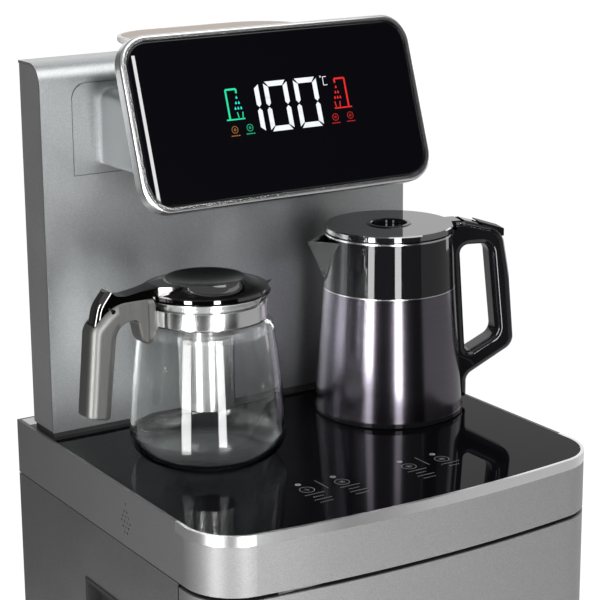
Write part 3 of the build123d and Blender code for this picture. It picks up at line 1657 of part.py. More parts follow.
def jar_profile(inset, floor, mode=Mode.ADD):
    """Half section of the jar: rounded heel, leaning wall, shoulder, straight neck and flared lip."""
    heel = jar_belly_radius - jar_foot_radius
    belly = (jar_belly_radius - inset, jar_belly_height)
    foot = (jar_foot_radius - inset, floor)
    knee = (belly[0] - heel * heel_fullness, floor + (jar_belly_height - floor) * (1 - heel_depth))
    shoulder = (jar_shoulder_radius - inset, jar_shoulder_height)
    waist = ((belly[0] + shoulder[0]) / 2 + wall_bow, (belly[1] + shoulder[1]) / 2)
    neck = (jar_neck_radius - inset, jar_neck_height - inset)
    bend = (shoulder[0] - shoulder_in, neck[1] - shoulder_drop)
    with BuildLine() as edge:
        Line((0, floor), foot)
        ThreePointArc(foot, knee, belly)
        ThreePointArc(belly, waist, shoulder)
        ThreePointArc(shoulder, bend, neck)
        Polyline(
            neck,
            (jar_neck_radius - inset, jar_lip_height),
            (jar_lip_radius - inset, jar_height),
            (0, jar_height),
            (0, floor),
        )
    make_face(edge.edges(), mode=mode)


pour_tip = (pour_tip_reach, jar_height)
pour_low = (pour_low_reach, jar_height - pour_drop)
pour_root = (pour_root_reach, pour_root_half, jar_height)
pour_hollow = pouring_lip(pour_tip, pour_low, pour_root, jar_wall, pour_throat)

with BuildPart(teapot_frame) as teapot_jar:
    with BuildSketch(teapot_side):
        jar_profile(0, 0)
    revolve(axis=teapot_axis)
    ConvexPolyhedron(pouring_lip(pour_tip, pour_low, pour_root, 0, jar_wall))
    with BuildSketch(teapot_side):
        jar_profile(jar_wall, jar_floor)
    revolve(axis=teapot_axis, mode=Mode.SUBTRACT)
    ConvexPolyhedron(pour_hollow, mode=Mode.SUBTRACT)
teapot_jar.part.label = "teapot_jar"
export_step(teapot_jar.part, "parts/teapot_jar.step")

collar_outer = jar_neck_radius + collar_wall

with BuildPart() as teapot_collar:
    with BuildSketch(teapot_frame.offset(collar_bottom)):
        Circle(collar_outer)
        Circle(jar_neck_radius, mode=Mode.SUBTRACT)
    extrude(amount=collar_height)
teapot_collar.part.label = "teapot_collar"
export_step(teapot_collar.part, "parts/teapot_collar.step")

slot_half = pot_slot_width / 2
cheek_face = pot_handle_width / 2 - cheek_depth

with BuildPart() as teapot_handle:
    with BuildSketch(teapot_side):
        rounded_outline(
            [
                (arm_inside, hook_low),
                (hook_reach, hook_low),
                (hook_root_reach, arm_low),
                (pot_arch_reach, arm_low),
                (pot_grip_inner, pot_grip_end),
                (pot_grip_outer, pot_grip_end),
                (pot_grip_top_reach, pot_grip_high),
                (pot_ear_reach, arm_high),
                (arm_inside, arm_high),
            ],
            [
                0,
                pot_hook_round,
                pot_hook_inner_round,
                pot_arch_round,
                pot_grip_round,
                pot_grip_round,
                pot_shoulder_round,
                pot_ear_round,
                0,
            ],
        )
    extrude(amount=pot_handle_width / 2, both=True)
    fillet(teapot_handle.faces().filter_by(teapot_side).edges(), pot_handle_round)
    with BuildSketch(teapot_side):
        outline(
            (pot_arch_reach, 0),
            (pot_arch_reach, pot_foot_low),
            (pot_grip_outer, pot_foot_high),
            (pot_grip_outer, 0),
        )
    extrude(amount=pot_handle_width, both=True, mode=Mode.SUBTRACT)
    fillet(teapot_handle.faces().sort_by(Axis.Z)[0].edges(), pot_foot_round)
    for side in (-1, 1):
        with BuildSketch(teapot_side.offset(side * cheek_face)):
            rounded_outline(
                [
                    (cheek_front, hook_low),
                    (cheek_back, hook_low),
                    (cheek_back, 2 * arm_high),
                    (cheek_front, 2 * arm_high),
                ],
                cheek_round,
            )
        extrude(amount=side * cheek_depth, mode=Mode.SUBTRACT)
    with BuildSketch(teapot_side):
        jar_profile(-fit_gap, -jar_floor)
    revolve(axis=teapot_axis, mode=Mode.SUBTRACT)
    with BuildSketch(teapot_frame.offset(jar_neck_height)):
        Circle(collar_outer)
    extrude(amount=jar_height, mode=Mode.SUBTRACT)
    with BuildSketch(teapot_frame.offset(jar_lip_height)):
        Circle(jar_lip_radius + lip_clearance)
    extrude(amount=jar_height, mode=Mode.SUBTRACT)
    with BuildSketch(teapot_side):
        outline(
            (0, arm_slot_floor),
            (slot_front, arm_slot_floor),
            (slot_front, slot_floor),
            (slot_back, slot_floor),
            (slot_back, 2 * jar_height),
            (0, 2 * jar_height),
        )
    extrude(amount=slot_half, both=True, mode=Mode.SUBTRACT)
    with BuildSketch(teapot_side):
        with Locations((pot_pivot_reach, pot_pivot_height)):
            Circle(pot_pin_radius)
    extrude(amount=pot_handle_width, both=True, mode=Mode.SUBTRACT)
teapot_handle.part.label = "teapot_handle"
export_step(teapot_handle.part, "parts/teapot_handle.step")

with BuildPart() as teapot_lid_pin:
    with BuildSketch(teapot_side):
        with Locations((pot_pivot_reach, pot_pivot_height)):
            Circle(pot_pin_radius)
    extrude(amount=pot_pin_length / 2, both=True)
teapot_lid_pin.part.label = "teapot_lid_pin"
export_step(teapot_lid_pin.part, "parts/teapot_lid_pin.step")

flange_top = jar_height + infuser_wall

with BuildPart() as teapot_infuser:
    with BuildSketch(teapot_side):
        outline(
            (0, infuser_bottom),
            (infuser_radius, infuser_bottom),
            (infuser_radius, infuser_cup_top),
            (infuser_skirt_radius, infuser_skirt_bottom),
            (infuser_skirt_radius, jar_height),
            (infuser_flange_radius, jar_height),
            (infuser_flange_radius, flange_top),
            (infuser_skirt_radius - infuser_wall, flange_top),
            (infuser_skirt_radius - infuser_wall, infuser_skirt_bottom + infuser_wall),
            (infuser_radius - infuser_wall, infuser_cup_top + infuser_wall),
            (infuser_radius - infuser_wall, infuser_bottom + infuser_wall),
            (0, infuser_bottom + infuser_wall),
        )
    revolve(axis=teapot_axis)
teapot_infuser.part.label = "teapot_infuser"
export_step(teapot_infuser.part, "parts/teapot_infuser.step")

# Teapot lid: a dished disc on a sloping flange, and a lever that runs back over the hinge
pot_lid_bottom = flange_top + pot_lid_gap
pot_rim_top = pot_lid_bottom + pot_lid_rim
dish_top = pot_rim_top + dish_rise
dish_floor = dish_top - dish_depth
dish_outer = dish_radius + dish_lip
slope_middle = ((dish_outer + pot_lid_radius) / 2, pot_rim_top + dish_rise / 4)
dish_middle = (dish_radius / 2, dish_floor + dish_depth / 4)
lid_inner = pot_lid_radius - pot_lid_wall
lever_under = arm_high + lever_gap
lever_half = pot_lever_width / 2
lever_cross = Axis(teapot_side.origin, teapot_side.z_dir)


def on_lever_back(face):
    lean = face.normal_at().dot(teapot_side.x_dir)
    reach = teapot_side.to_local_coords(face.center()).X
    return lean > lever_back_lean and reach > lever_back_reach


with BuildPart() as pot_lever:
    with BuildSketch(teapot_side):
        rounded_outline(
            [
                (lever_root_reach, lever_under),
                (lever_root_reach, lever_root_height),
                (lever_bow_reach, lever_bow_height),
                (lever_dip_reach, lever_dip_height),
                (lever_rise_reach, lever_rise_height),
                (lever_thumb_reach, lever_thumb_height),
                (lever_back_reach, lever_back_height),
                (lever_bulge_reach, lever_bulge_height),
                (lever_tail_reach, lever_tail_height),
                (lever_tip_reach, lever_tip_height),
                (lever_heel_reach, pot_pivot_height - pot_knuckle_radius / 2),
                (pot_pivot_reach, pot_pivot_height - pot_knuckle_radius),
                (pot_pivot_reach - pot_knuckle_radius, pot_pivot_height),
                (lever_throat_reach, pot_lid_bottom),
                (lid_inner, pot_lid_bottom),
                (lid_inner, lever_under),
            ],
            [
                0,
                0,
                lever_bow_round,
                lever_dip_round,
                lever_dip_round,
                lever_thumb_round,
                0,
                lever_bulge_round,
                0,
                lever_tail_round,
                lever_heel_round,
                lever_tail_round,
                lever_tail_round,
                lever_tail_round,
                0,
                0,
            ],
        )
        with Locations((pot_pivot_reach, pot_pivot_height)):
            Circle(pot_knuckle_radius)
            Circle(pot_pin_radius + hinge_clearance, mode=Mode.SUBTRACT)
    extrude(amount=lever_half, both=True)
    lever_back = pot_lever.faces().filter_by(on_lever_back)
    fillet(lever_back.edges().filter_by(lever_cross, reverse=True), lever_back_round)

with BuildPart() as pot_flare:
    with BuildSketch(teapot_side):
        outline(
            (lever_root_reach, lever_under),
            (lever_root_reach, lever_root_height),
            (lever_bow_reach, lever_bow_height),
            (lever_flare_reach, lever_dip_height),
            (lever_flare_reach, lever_under),
        )
    extrude(amount=lever_flare_half, both=True)
    with BuildSketch(teapot_frame.offset(lever_under)):
        with BuildLine() as edge:
            for side in (-1, 1):
                ThreePointArc(
                    (dish_radius, side * lever_flare_half),
                    (lever_bow_reach, side * (lever_half + lever_flare_half / 5)),
                    (lever_flare_reach, side * lever_half),
                )
                Line((dish_radius, side * lever_flare_half), (lever_root_reach, side * lever_flare_half))
            Line((lever_root_reach, -lever_flare_half), (lever_root_reach, lever_flare_half))
            Line((lever_flare_reach, -lever_half), (lever_flare_reach, lever_half))
        make_face(edge.edges())
    extrude(amount=jar_height, mode=Mode.INTERSECT)

with BuildPart() as teapot_lid:
    with BuildSketch(teapot_side):
        with BuildLine() as edge:
            ThreePointArc((0, dish_floor), dish_middle, (dish_radius, dish_top))
            Line((dish_radius, dish_top), (dish_outer, dish_top))
            ThreePointArc((dish_outer, dish_top), slope_middle, (pot_lid_radius, pot_rim_top))
            Polyline(
                (pot_lid_radius, pot_rim_top),
                (pot_lid_radius, pot_lid_bottom),
                (lid_inner, pot_lid_bottom),
                (dish_radius, dish_top - pot_lid_wall - pot_lid_rim / 2),
                (0, dish_floor - pot_lid_wall - lid_hollow),
                (0, dish_floor),
            )
        make_face(edge.edges())
    revolve(axis=teapot_axis)
    add(pot_lever.part)
    add(pot_flare.part)
teapot_lid.part.label = "teapot_lid"
export_step(teapot_lid.part, "parts/teapot_lid.step")
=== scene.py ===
# %% [markdown]
# A tea bar water dispenser, dressed for its portrait.
# The cabinet, column, display head, kettle and teapot come in as finished solids, at their real size.
# This lesson gives every one of them its finish, and adds what is too thin or too fine for a solid:
# the lit symbols, the printed touch keys, the holes of the tea strainer and the crosses in the screws.

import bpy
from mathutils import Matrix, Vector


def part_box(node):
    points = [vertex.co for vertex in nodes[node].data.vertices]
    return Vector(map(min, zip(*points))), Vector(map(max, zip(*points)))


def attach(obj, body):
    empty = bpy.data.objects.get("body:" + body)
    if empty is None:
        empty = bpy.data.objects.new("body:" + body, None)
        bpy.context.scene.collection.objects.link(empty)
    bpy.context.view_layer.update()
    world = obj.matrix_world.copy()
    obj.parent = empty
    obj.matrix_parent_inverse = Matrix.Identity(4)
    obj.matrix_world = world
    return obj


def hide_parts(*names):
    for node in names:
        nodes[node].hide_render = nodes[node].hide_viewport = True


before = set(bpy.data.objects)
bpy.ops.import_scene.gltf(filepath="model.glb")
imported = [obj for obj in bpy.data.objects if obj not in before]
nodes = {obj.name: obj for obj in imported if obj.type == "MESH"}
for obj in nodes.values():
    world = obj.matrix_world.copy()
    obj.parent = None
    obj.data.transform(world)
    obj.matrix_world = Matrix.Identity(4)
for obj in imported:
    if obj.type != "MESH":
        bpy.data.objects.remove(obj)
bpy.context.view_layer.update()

# %% Imports and units
import math

import bmesh
import bpy
from mathutils import Matrix, Vector

MM = 0.001
scene = bpy.context.scene
scene.view_settings.view_transform = "Standard"
print("one millimetre is", MM, "of Blender's metres")

# %% [markdown]
# The camera stands left of the front, a little above the worktop, with a long lens.
# Its place was worked out from the straight edges in the photograph, so it is given as a position
# and two directions, its right and its up. Aiming it at a target would lose the slight roll.
# The middle of the view lies beside the middle of the frame, so the lens is shifted instead of turned.

# %% Camera
EYE = Vector((-0.8697, -1.3561, 1.2963))
EYE_RIGHT = Vector((0.8684, -0.4955, -0.0204))
EYE_UP = Vector((0.1351, 0.1967, 0.9711))
LENS_LENGTH = 111.66
SENSOR_WIDTH = 36.0
CROP_SHIFT = (0.1667, -0.0583)

camera_data = bpy.data.cameras.new("portrait_camera")
camera_data.lens = LENS_LENGTH
camera_data.sensor_width = SENSOR_WIDTH
camera_data.shift_x, camera_data.shift_y = CROP_SHIFT
camera = bpy.data.objects.new("portrait_camera", camera_data)
scene.collection.objects.link(camera)
eye_back = EYE_RIGHT.cross(EYE_UP).normalized()
eye_up = eye_back.cross(EYE_RIGHT).normalized()
turn = Matrix((EYE_RIGHT.normalized(), eye_up, eye_back)).transposed()
camera.matrix_world = Matrix.Translation(EYE) @ turn.to_4x4()
scene.camera = camera
print("camera at", [round(v, 2) for v in EYE])

# %% [markdown]
# The studio is a pale floor under a white sky. A lamp strong enough to burn the background white
# would wash out the paint, so the sky is two in one. The camera sees a white sky, directly or through
# glass, while a dimmer one lights the object and shows in its metal.

# %% Sky
SKY_LIGHT = 0.36
WHITE = (1.0, 1.0, 1.0, 1.0)

world = bpy.data.worlds.new("studio_sky")
scene.world = world
world.use_nodes = True
sky = world.node_tree
sky.nodes.clear()
sky_out = sky.nodes.new("ShaderNodeOutputWorld")
sky_mix = sky.nodes.new("ShaderNodeMixShader")
sky_fill = sky.nodes.new("ShaderNodeBackground")
sky_seen = sky.nodes.new("ShaderNodeBackground")
sky_path = sky.nodes.new("ShaderNodeLightPath")
sky_any = sky.nodes.new("ShaderNodeMath")
sky_any.operation = "MAXIMUM"
sky_fill.inputs["Color"].default_value = WHITE
sky_fill.inputs["Strength"].default_value = SKY_LIGHT
sky_seen.inputs["Color"].default_value = WHITE
sky.links.new(sky_path.outputs["Is Camera Ray"], sky_any.inputs[0])
sky.links.new(sky_path.outputs["Is Transmission Ray"], sky_any.inputs[1])
sky.links.new(sky_any.outputs[0], sky_mix.inputs[0])
sky.links.new(sky_fill.outputs[0], sky_mix.inputs[1])
sky.links.new(sky_seen.outputs[0], sky_mix.inputs[2])
sky.links.new(sky_mix.outputs[0], sky_out.inputs[0])
print("sky light", SKY_LIGHT)

# %% [markdown]
# The floor is one large square of pale matt paint. Matt paint alone would render grey and show an edge
# against the sky, so for the camera it also glows. The glow takes most of the mix and the matt paint
# keeps the rest, so that the object still throws a soft shadow.

# %% Floor
FLOOR_SIZE = 60.0
FLOOR_COLOUR = (0.9, 0.9, 0.9, 1.0)
FLOOR_GLOW = 1.25
FLOOR_GLOW_SHARE = 0.75
FLOOR_CORNERS = ((-0.5, -0.5), (0.5, -0.5), (0.5, 0.5), (-0.5, 0.5))

floor_mesh = bpy.data.meshes.new("floor")
floor_mesh.from_pydata([(x * FLOOR_SIZE, y * FLOOR_SIZE, 0) for x, y in FLOOR_CORNERS], [], [(0, 1, 2, 3)])
floor = bpy.data.objects.new("floor", floor_mesh)
scene.collection.objects.link(floor)

floor_paint = bpy.data.materials.new("pale_floor")
floor_paint.use_nodes = True
tree = floor_paint.node_tree
tree.nodes.clear()
floor_out = tree.nodes.new("ShaderNodeOutputMaterial")
floor_mix = tree.nodes.new("ShaderNodeMixShader")
floor_matt = tree.nodes.new("ShaderNodeBsdfDiffuse")
floor_glow = tree.nodes.new("ShaderNodeEmission")
floor_glow.inputs["Strength"].default_value = FLOOR_GLOW
floor_path = tree.nodes.new("ShaderNodeLightPath")
floor_share = tree.nodes.new("ShaderNodeMath")
floor_share.operation = "MULTIPLY"
floor_share.inputs[1].default_value = FLOOR_GLOW_SHARE
floor_matt.inputs["Color"].default_value = FLOOR_COLOUR
tree.links.new(floor_path.outputs["Is Camera Ray"], floor_share.inputs[0])
tree.links.new(floor_share.outputs[0], floor_mix.inputs[0])
tree.links.new(floor_matt.outputs[0], floor_mix.inputs[1])
tree.links.new(floor_glow.outputs[0], floor_mix.inputs[2])
tree.links.new(floor_mix.outputs[0], floor_out.inputs[0])
floor_mesh.materials.append(floor_paint)
print("floor", FLOOR_SIZE, "m wide")

# %% [markdown]
# Polished vessels are drawn by what they mirror. Two tall narrow lamps at the front left draw the
# two white stripes down the kettle and the teapot, a wide soft box overhead lights the paint, and one on
# the right fills the shadows. A thin tube, high at the front right, draws the streak across the screen.
# One painted sky could do all this, but separate lamps can be moved one by one.

# %% Lamps
def soft_box(name, place, target, width, height, power):
    """A rectangular lamp that faces its target."""
    lamp = bpy.data.lights.new(name, "AREA")
    lamp.shape = "RECTANGLE"
    lamp.size = width
    lamp.size_y = height
    lamp.energy = power
    stand = bpy.data.objects.new(name, lamp)
    scene.collection.objects.link(stand)
    stand.location = place
    stand.rotation_mode = "QUATERNION"
    stand.rotation_quaternion = (Vector(target) - Vector(place)).to_track_quat("-Z", "Y")
    print(name, "at", place, power, "W")


VESSELS = (0.0, 0.02, 0.88)
WORKTOP = (0.0, 0.0, 0.7)
COLUMN = (0.0, 0.0, 0.8)
STRIPE_WIDTH = 0.2
STRIPE_HEIGHT = 1.1
soft_box("stripe_lamp_left", (-0.84, -0.42, 0.85), VESSELS, STRIPE_WIDTH, STRIPE_HEIGHT, power=8.5)
soft_box("stripe_lamp_front", (-0.25, -1.0, 0.85), VESSELS, STRIPE_WIDTH, STRIPE_HEIGHT, power=9.5)
soft_box("overhead_box", (0.3, -0.9, 2.6), WORKTOP, width=1.8, height=1.4, power=16.0)
soft_box("right_box", (2.4, 0.4, 1.2), COLUMN, width=1.2, height=1.6, power=12.0)
TUBE_PLACE = (0.758, -1.56, 1.66)
TUBE_TARGET = (0.758, -0.613, 1.3384)
soft_box("screen_tube", TUBE_PLACE, TUBE_TARGET, width=0.007, height=0.6, power=0.26)

# %% [markdown]
# A mirror also needs something to show. Black, grey and white cloths hang round the object, as curved
# sheets of an even glow. They are there for reflections alone: the camera, the matt surfaces and the
# clear glass don't see them, and they throw no shadow.

# %% Cloths
CLOTH_STEPS = 24


def cloth_finish(name, level):
    """A cloth of an even grey, whatever light falls on it."""
    finish = bpy.data.materials.new(name)
    finish.use_nodes = True
    shader = finish.node_tree.nodes["Principled BSDF"]
    shader.inputs["Base Color"].default_value = (0.0, 0.0, 0.0, 1.0)
    shader.inputs["Specular IOR Level"].default_value = 0.0
    shader.inputs["Emission Color"].default_value = (level, level, level, 1.0)
    shader.inputs["Emission Strength"].default_value = 1.0
    return finish


cloth_black = cloth_finish("cloth_black", 0.012)
cloth_grey = cloth_finish("cloth_grey", 0.14)
cloth_white = cloth_finish("cloth_white", 0.95)


def hang_cloth(name, finish, distance, first, last, low, high):
    """A curved cloth between two directions, in degrees round the object."""
    cloth = bmesh.new()
    columns = []
    for n in range(CLOTH_STEPS + 1):
        angle = math.radians(first + (last - first) * n / CLOTH_STEPS)
        x, y = distance * math.cos(angle), distance * math.sin(angle)
        columns.append((cloth.verts.new((x, y, low)), cloth.verts.new((x, y, high))))
    for left, right in zip(columns, columns[1:]):
        cloth.faces.new((left[0], right[0], right[1], left[1]))
    mesh = bpy.data.meshes.new(name)
    cloth.to_mesh(mesh)
    cloth.free()
    mesh.materials.append(finish)
    hung = bpy.data.objects.new(name, mesh)
    scene.collection.objects.link(hung)
    hung.visible_camera = False
    hung.visible_diffuse = False
    hung.visible_transmission = False
    hung.visible_shadow = False
    print(name, "from", first, "to", last, "degrees")


hang_cloth("cloth_front", cloth_black, distance=1.3, first=180.0, last=297.0, low=0.02, high=1.25)
hang_cloth("cloth_front_high", cloth_black, distance=2.4, first=290.0, last=325.0, low=1.3, high=3.4)
hang_cloth("cloth_left", cloth_grey, distance=1.3, first=95.0, last=180.0, low=0.02, high=1.8)
hang_cloth("cloth_back", cloth_white, distance=3.0, first=15.0, last=92.0, low=0.9, high=6.0)

# %% [markdown]
# Several finishes share the same small effects, so each effect is one node group.
# A group only works out colours, masks and heights; the shader itself stays in the material.
# A few helpers make the nodes that all groups need, and take a socket or a plain number alike.

# %% Group tools
# A mix node carries sockets for numbers and vectors too; these are its colour ones
MIX_COLOURS = (6, 7)
MIX_RESULT = 2


def new_group(name, inputs, outputs):
    """An empty node group with its sockets; gives the group, its input node and its output node."""
    group = bpy.data.node_groups.new(name, "ShaderNodeTree")
    for label, kind, value in inputs:
        socket = group.interface.new_socket(name=label, in_out="INPUT", socket_type=kind)
        socket.default_value = value
    for label, kind in outputs:
        group.interface.new_socket(name=label, in_out="OUTPUT", socket_type=kind)
    print("group", name, "puts out", [label for label, kind in outputs])
    return group, group.nodes.new("NodeGroupInput"), group.nodes.new("NodeGroupOutput")


def math_node(tree, operation, first, second):
    """A math node; each of its two inputs is a socket or a plain number."""
    node = tree.nodes.new("ShaderNodeMath")
    node.operation = operation
    for socket, value in zip(node.inputs, (first, second)):
        if isinstance(value, (int, float)):
            socket.default_value = value
        else:
            tree.links.new(value, socket)
    return node.outputs[0]


def blend_node(tree, share, first, second):
    """A colour mix; each colour is a socket or a plain colour."""
    node = tree.nodes.new("ShaderNodeMix")
    node.data_type = "RGBA"
    tree.links.new(share, node.inputs["Factor"])
    for place, value in zip(MIX_COLOURS, (first, second)):
        if isinstance(value, tuple):
            node.inputs[place].default_value = value
        else:
            tree.links.new(value, node.inputs[place])
    return node.outputs[MIX_RESULT]


def range_node(tree, value, low, high, to_low, to_high):
    """Maps a value from one range to another, each end a socket or a number."""
    node = tree.nodes.new("ShaderNodeMapRange")
    tree.links.new(value, node.inputs["Value"])
    ends = {"From Min": low, "From Max": high, "To Min": to_low, "To Max": to_high}
    for label, end in ends.items():
        if isinstance(end, (int, float)):
            node.inputs[label].default_value = end
        else:
            tree.links.new(end, node.inputs[label])
    return node.outputs["Result"]


# %% [markdown]
# Metallic paint holds flakes that each catch the light at their own angle.
# A cell pattern of under half a millimetre gives every flake its own brightness, and a slow cloud
# changes the gloss a little from place to place, as sprayed paint does.

# %% Group: metal flake
FLAKES_PER_METRE = 2400.0
FLAKE_CLOUD_SCALE = 14.0
FLAKE_CONTRAST = 1.6
# Noise stays near its middle, so this stretch of it is spread over the whole range of gloss
NOISE_LOW = 0.3
NOISE_HIGH = 0.7

flake_group, flake_in, flake_out = new_group(
    "metal_flake",
    [("Dark", "NodeSocketColor", (0.1, 0.1, 0.1, 1)), ("Light", "NodeSocketColor", (0.3, 0.3, 0.3, 1)),
     ("Flakes per metre", "NodeSocketFloat", FLAKES_PER_METRE), ("Smooth", "NodeSocketFloat", 0.36),
     ("Coarse", "NodeSocketFloat", 0.42)],
    [("Color", "NodeSocketColor"), ("Height", "NodeSocketFloat"), ("Gloss", "NodeSocketFloat")],
)
flake_place = flake_group.nodes.new("ShaderNodeTexCoord")
flake_cells = flake_group.nodes.new("ShaderNodeTexVoronoi")
flake_cloud = flake_group.nodes.new("ShaderNodeTexNoise")
flake_cloud.inputs["Scale"].default_value = FLAKE_CLOUD_SCALE
flake_group.links.new(flake_place.outputs["Object"], flake_cells.inputs["Vector"])
flake_group.links.new(flake_place.outputs["Object"], flake_cloud.inputs["Vector"])
flake_group.links.new(flake_in.outputs["Flakes per metre"], flake_cells.inputs["Scale"])
flake_tone = flake_group.nodes.new("ShaderNodeSeparateColor")
flake_group.links.new(flake_cells.outputs["Color"], flake_tone.inputs[0])
flake_share = math_node(flake_group, "POWER", flake_tone.outputs[0], FLAKE_CONTRAST)
flake_colour = blend_node(flake_group, flake_share, flake_in.outputs["Dark"], flake_in.outputs["Light"])
flake_group.links.new(flake_colour, flake_out.inputs["Color"])
flake_group.links.new(flake_tone.outputs[1], flake_out.inputs["Height"])
flake_smooth, flake_coarse = flake_in.outputs["Smooth"], flake_in.outputs["Coarse"]
flake_noise = flake_cloud.outputs["Fac"]
flake_gloss = range_node(flake_group, flake_noise, NOISE_LOW, NOISE_HIGH, flake_smooth, flake_coarse)
flake_group.links.new(flake_gloss, flake_out.inputs["Gloss"])

# %% [markdown]
# Brushing leaves scratches that are long one way and hair-fine the other.
# The same noise, squeezed hard along one direction, serves for all brushed metal here.

# %% Group: brushed lines
BRUSH_DETAIL = 3.0
BRUSH_LOW = 0.32
BRUSH_HIGH = 0.68

brush_group, brush_in, brush_out = new_group(
    "brushed_lines",
    [("Stretch", "NodeSocketVector", (1.0, 1.0, 1.0)), ("Dark", "NodeSocketColor", (0.4, 0.4, 0.4, 1)),
     ("Light", "NodeSocketColor", (0.6, 0.6, 0.6, 1)), ("Smooth", "NodeSocketFloat", 0.2),
     ("Coarse", "NodeSocketFloat", 0.34)],
    [("Color", "NodeSocketColor"), ("Height", "NodeSocketFloat"), ("Gloss", "NodeSocketFloat")],
)
brush_place = brush_group.nodes.new("ShaderNodeTexCoord")
brush_squeeze = brush_group.nodes.new("ShaderNodeVectorMath")
brush_squeeze.operation = "MULTIPLY"
brush_noise = brush_group.nodes.new("ShaderNodeTexNoise")
brush_noise.inputs["Scale"].default_value = 1.0
brush_noise.inputs["Detail"].default_value = BRUSH_DETAIL
brush_group.links.new(brush_place.outputs["Object"], brush_squeeze.inputs[0])
brush_group.links.new(brush_in.outputs["Stretch"], brush_squeeze.inputs[1])
brush_group.links.new(brush_squeeze.outputs[0], brush_noise.inputs["Vector"])
brush_tone = range_node(brush_group, brush_noise.outputs["Fac"], BRUSH_LOW, BRUSH_HIGH, 0.0, 1.0)
brush_colour = blend_node(brush_group, brush_tone, brush_in.outputs["Dark"], brush_in.outputs["Light"])
brush_group.links.new(brush_colour, brush_out.inputs["Color"])
brush_group.links.new(brush_noise.outputs["Fac"], brush_out.inputs["Height"])
brush_smooth, brush_coarse = brush_in.outputs["Smooth"], brush_in.outputs["Coarse"]
brush_scratch = brush_noise.outputs["Fac"]
brush_gloss = range_node(brush_group, brush_scratch, NOISE_LOW, NOISE_HIGH, brush_smooth, brush_coarse)
brush_group.links.new(brush_gloss, brush_out.inputs["Gloss"])

# %% [markdown]
# Nothing that is wiped every day is evenly clean. Faint smears make a mirror surface believable.
# A twisted noise, cut off below its middle, leaves clean ground with a few duller strokes on it.

# %% Group: wiped smears
SMEAR_DETAIL = 5.0
SMEAR_TWIST = 1.2
SMEAR_START = 0.5
SMEAR_FULL = 0.75

smear_group, smear_in, smear_out = new_group(
    "wiped_smears",
    [("Clean", "NodeSocketFloat", 0.03), ("Smeared", "NodeSocketFloat", 0.12),
     ("Size", "NodeSocketFloat", 9.0)],
    [("Gloss", "NodeSocketFloat"), ("Mask", "NodeSocketFloat")],
)
smear_place = smear_group.nodes.new("ShaderNodeTexCoord")
smear_noise = smear_group.nodes.new("ShaderNodeTexNoise")
smear_noise.inputs["Detail"].default_value = SMEAR_DETAIL
smear_noise.inputs["Distortion"].default_value = SMEAR_TWIST
smear_group.links.new(smear_place.outputs["Object"], smear_noise.inputs["Vector"])
smear_group.links.new(smear_in.outputs["Size"], smear_noise.inputs["Scale"])
smear_mask = range_node(smear_group, smear_noise.outputs["Fac"], SMEAR_START, SMEAR_FULL, 0.0, 1.0)
smear_group.links.new(smear_mask, smear_out.inputs["Mask"])
smear_clean, smear_dull = smear_in.outputs["Clean"], smear_in.outputs["Smeared"]
smear_gloss = range_node(smear_group, smear_mask, 0.0, 1.0, smear_clean, smear_dull)
smear_group.links.new(smear_gloss, smear_out.inputs["Gloss"])

# %% [markdown]
# Moulded plastic takes a fine pebble from its mould, which keeps it from looking like paint.
# Rounded cells of well under a millimetre make the pebble, and a slow noise makes the surface uneven.

# %% Group: moulded pebble
PEBBLES_PER_METRE = 1400.0
PEBBLE_WEAR_SCALE = 30.0
PEBBLE_WEAR_DETAIL = 4.0
PEBBLE_SMOOTH = 0.42
PEBBLE_COARSE = 0.56

pebble_group, pebble_in, pebble_out = new_group(
    "moulded_pebble",
    [("Dark", "NodeSocketColor", (0.015, 0.015, 0.016, 1)),
     ("Light", "NodeSocketColor", (0.03, 0.03, 0.032, 1)),
     ("Pebbles per metre", "NodeSocketFloat", PEBBLES_PER_METRE)],
    [("Color", "NodeSocketColor"), ("Height", "NodeSocketFloat"), ("Gloss", "NodeSocketFloat")],
)
pebble_place = pebble_group.nodes.new("ShaderNodeTexCoord")
pebble_cells = pebble_group.nodes.new("ShaderNodeTexVoronoi")
pebble_cells.feature = "SMOOTH_F1"
pebble_wear = pebble_group.nodes.new("ShaderNodeTexNoise")
pebble_wear.inputs["Scale"].default_value = PEBBLE_WEAR_SCALE
pebble_wear.inputs["Detail"].default_value = PEBBLE_WEAR_DETAIL
pebble_group.links.new(pebble_place.outputs["Object"], pebble_cells.inputs["Vector"])
pebble_group.links.new(pebble_place.outputs["Object"], pebble_wear.inputs["Vector"])
pebble_group.links.new(pebble_in.outputs["Pebbles per metre"], pebble_cells.inputs["Scale"])
pebble_group.links.new(pebble_cells.outputs["Distance"], pebble_out.inputs["Height"])
pebble_worn = pebble_wear.outputs["Fac"]
pebble_colour = blend_node(pebble_group, pebble_worn, pebble_in.outputs["Dark"], pebble_in.outputs["Light"])
pebble_group.links.new(pebble_colour, pebble_out.inputs["Color"])
pebble_gloss = range_node(pebble_group, pebble_worn, NOISE_LOW, NOISE_HIGH, PEBBLE_SMOOTH, PEBBLE_COARSE)
pebble_group.links.new(pebble_gloss, pebble_out.inputs["Gloss"])

# %% [markdown]
# Every finish starts the same way: one shader with its constant values set straight on its sockets,
# and one or two groups for whatever changes over the surface.

# %% Finish tools
COAT_ROUGHNESS = 0.1
FLAKE_BUMP = 0.08
FLAKE_DEPTH = 0.1 * MM
BRUSH_DEPTH = 0.05 * MM
PEBBLE_DEPTH = 0.15 * MM


def grey(value):
    """A neutral colour."""
    return (value, value, value, 1.0)


def new_finish(name, **sockets):
    """A material with one Principled shader; sockets gives its constant values."""
    finish = bpy.data.materials.new(name)
    finish.use_nodes = True
    shader = finish.node_tree.nodes["Principled BSDF"]
    for label, value in sockets.items():
        shader.inputs[label.replace("_", " ")].default_value = value
    return finish, finish.node_tree, shader


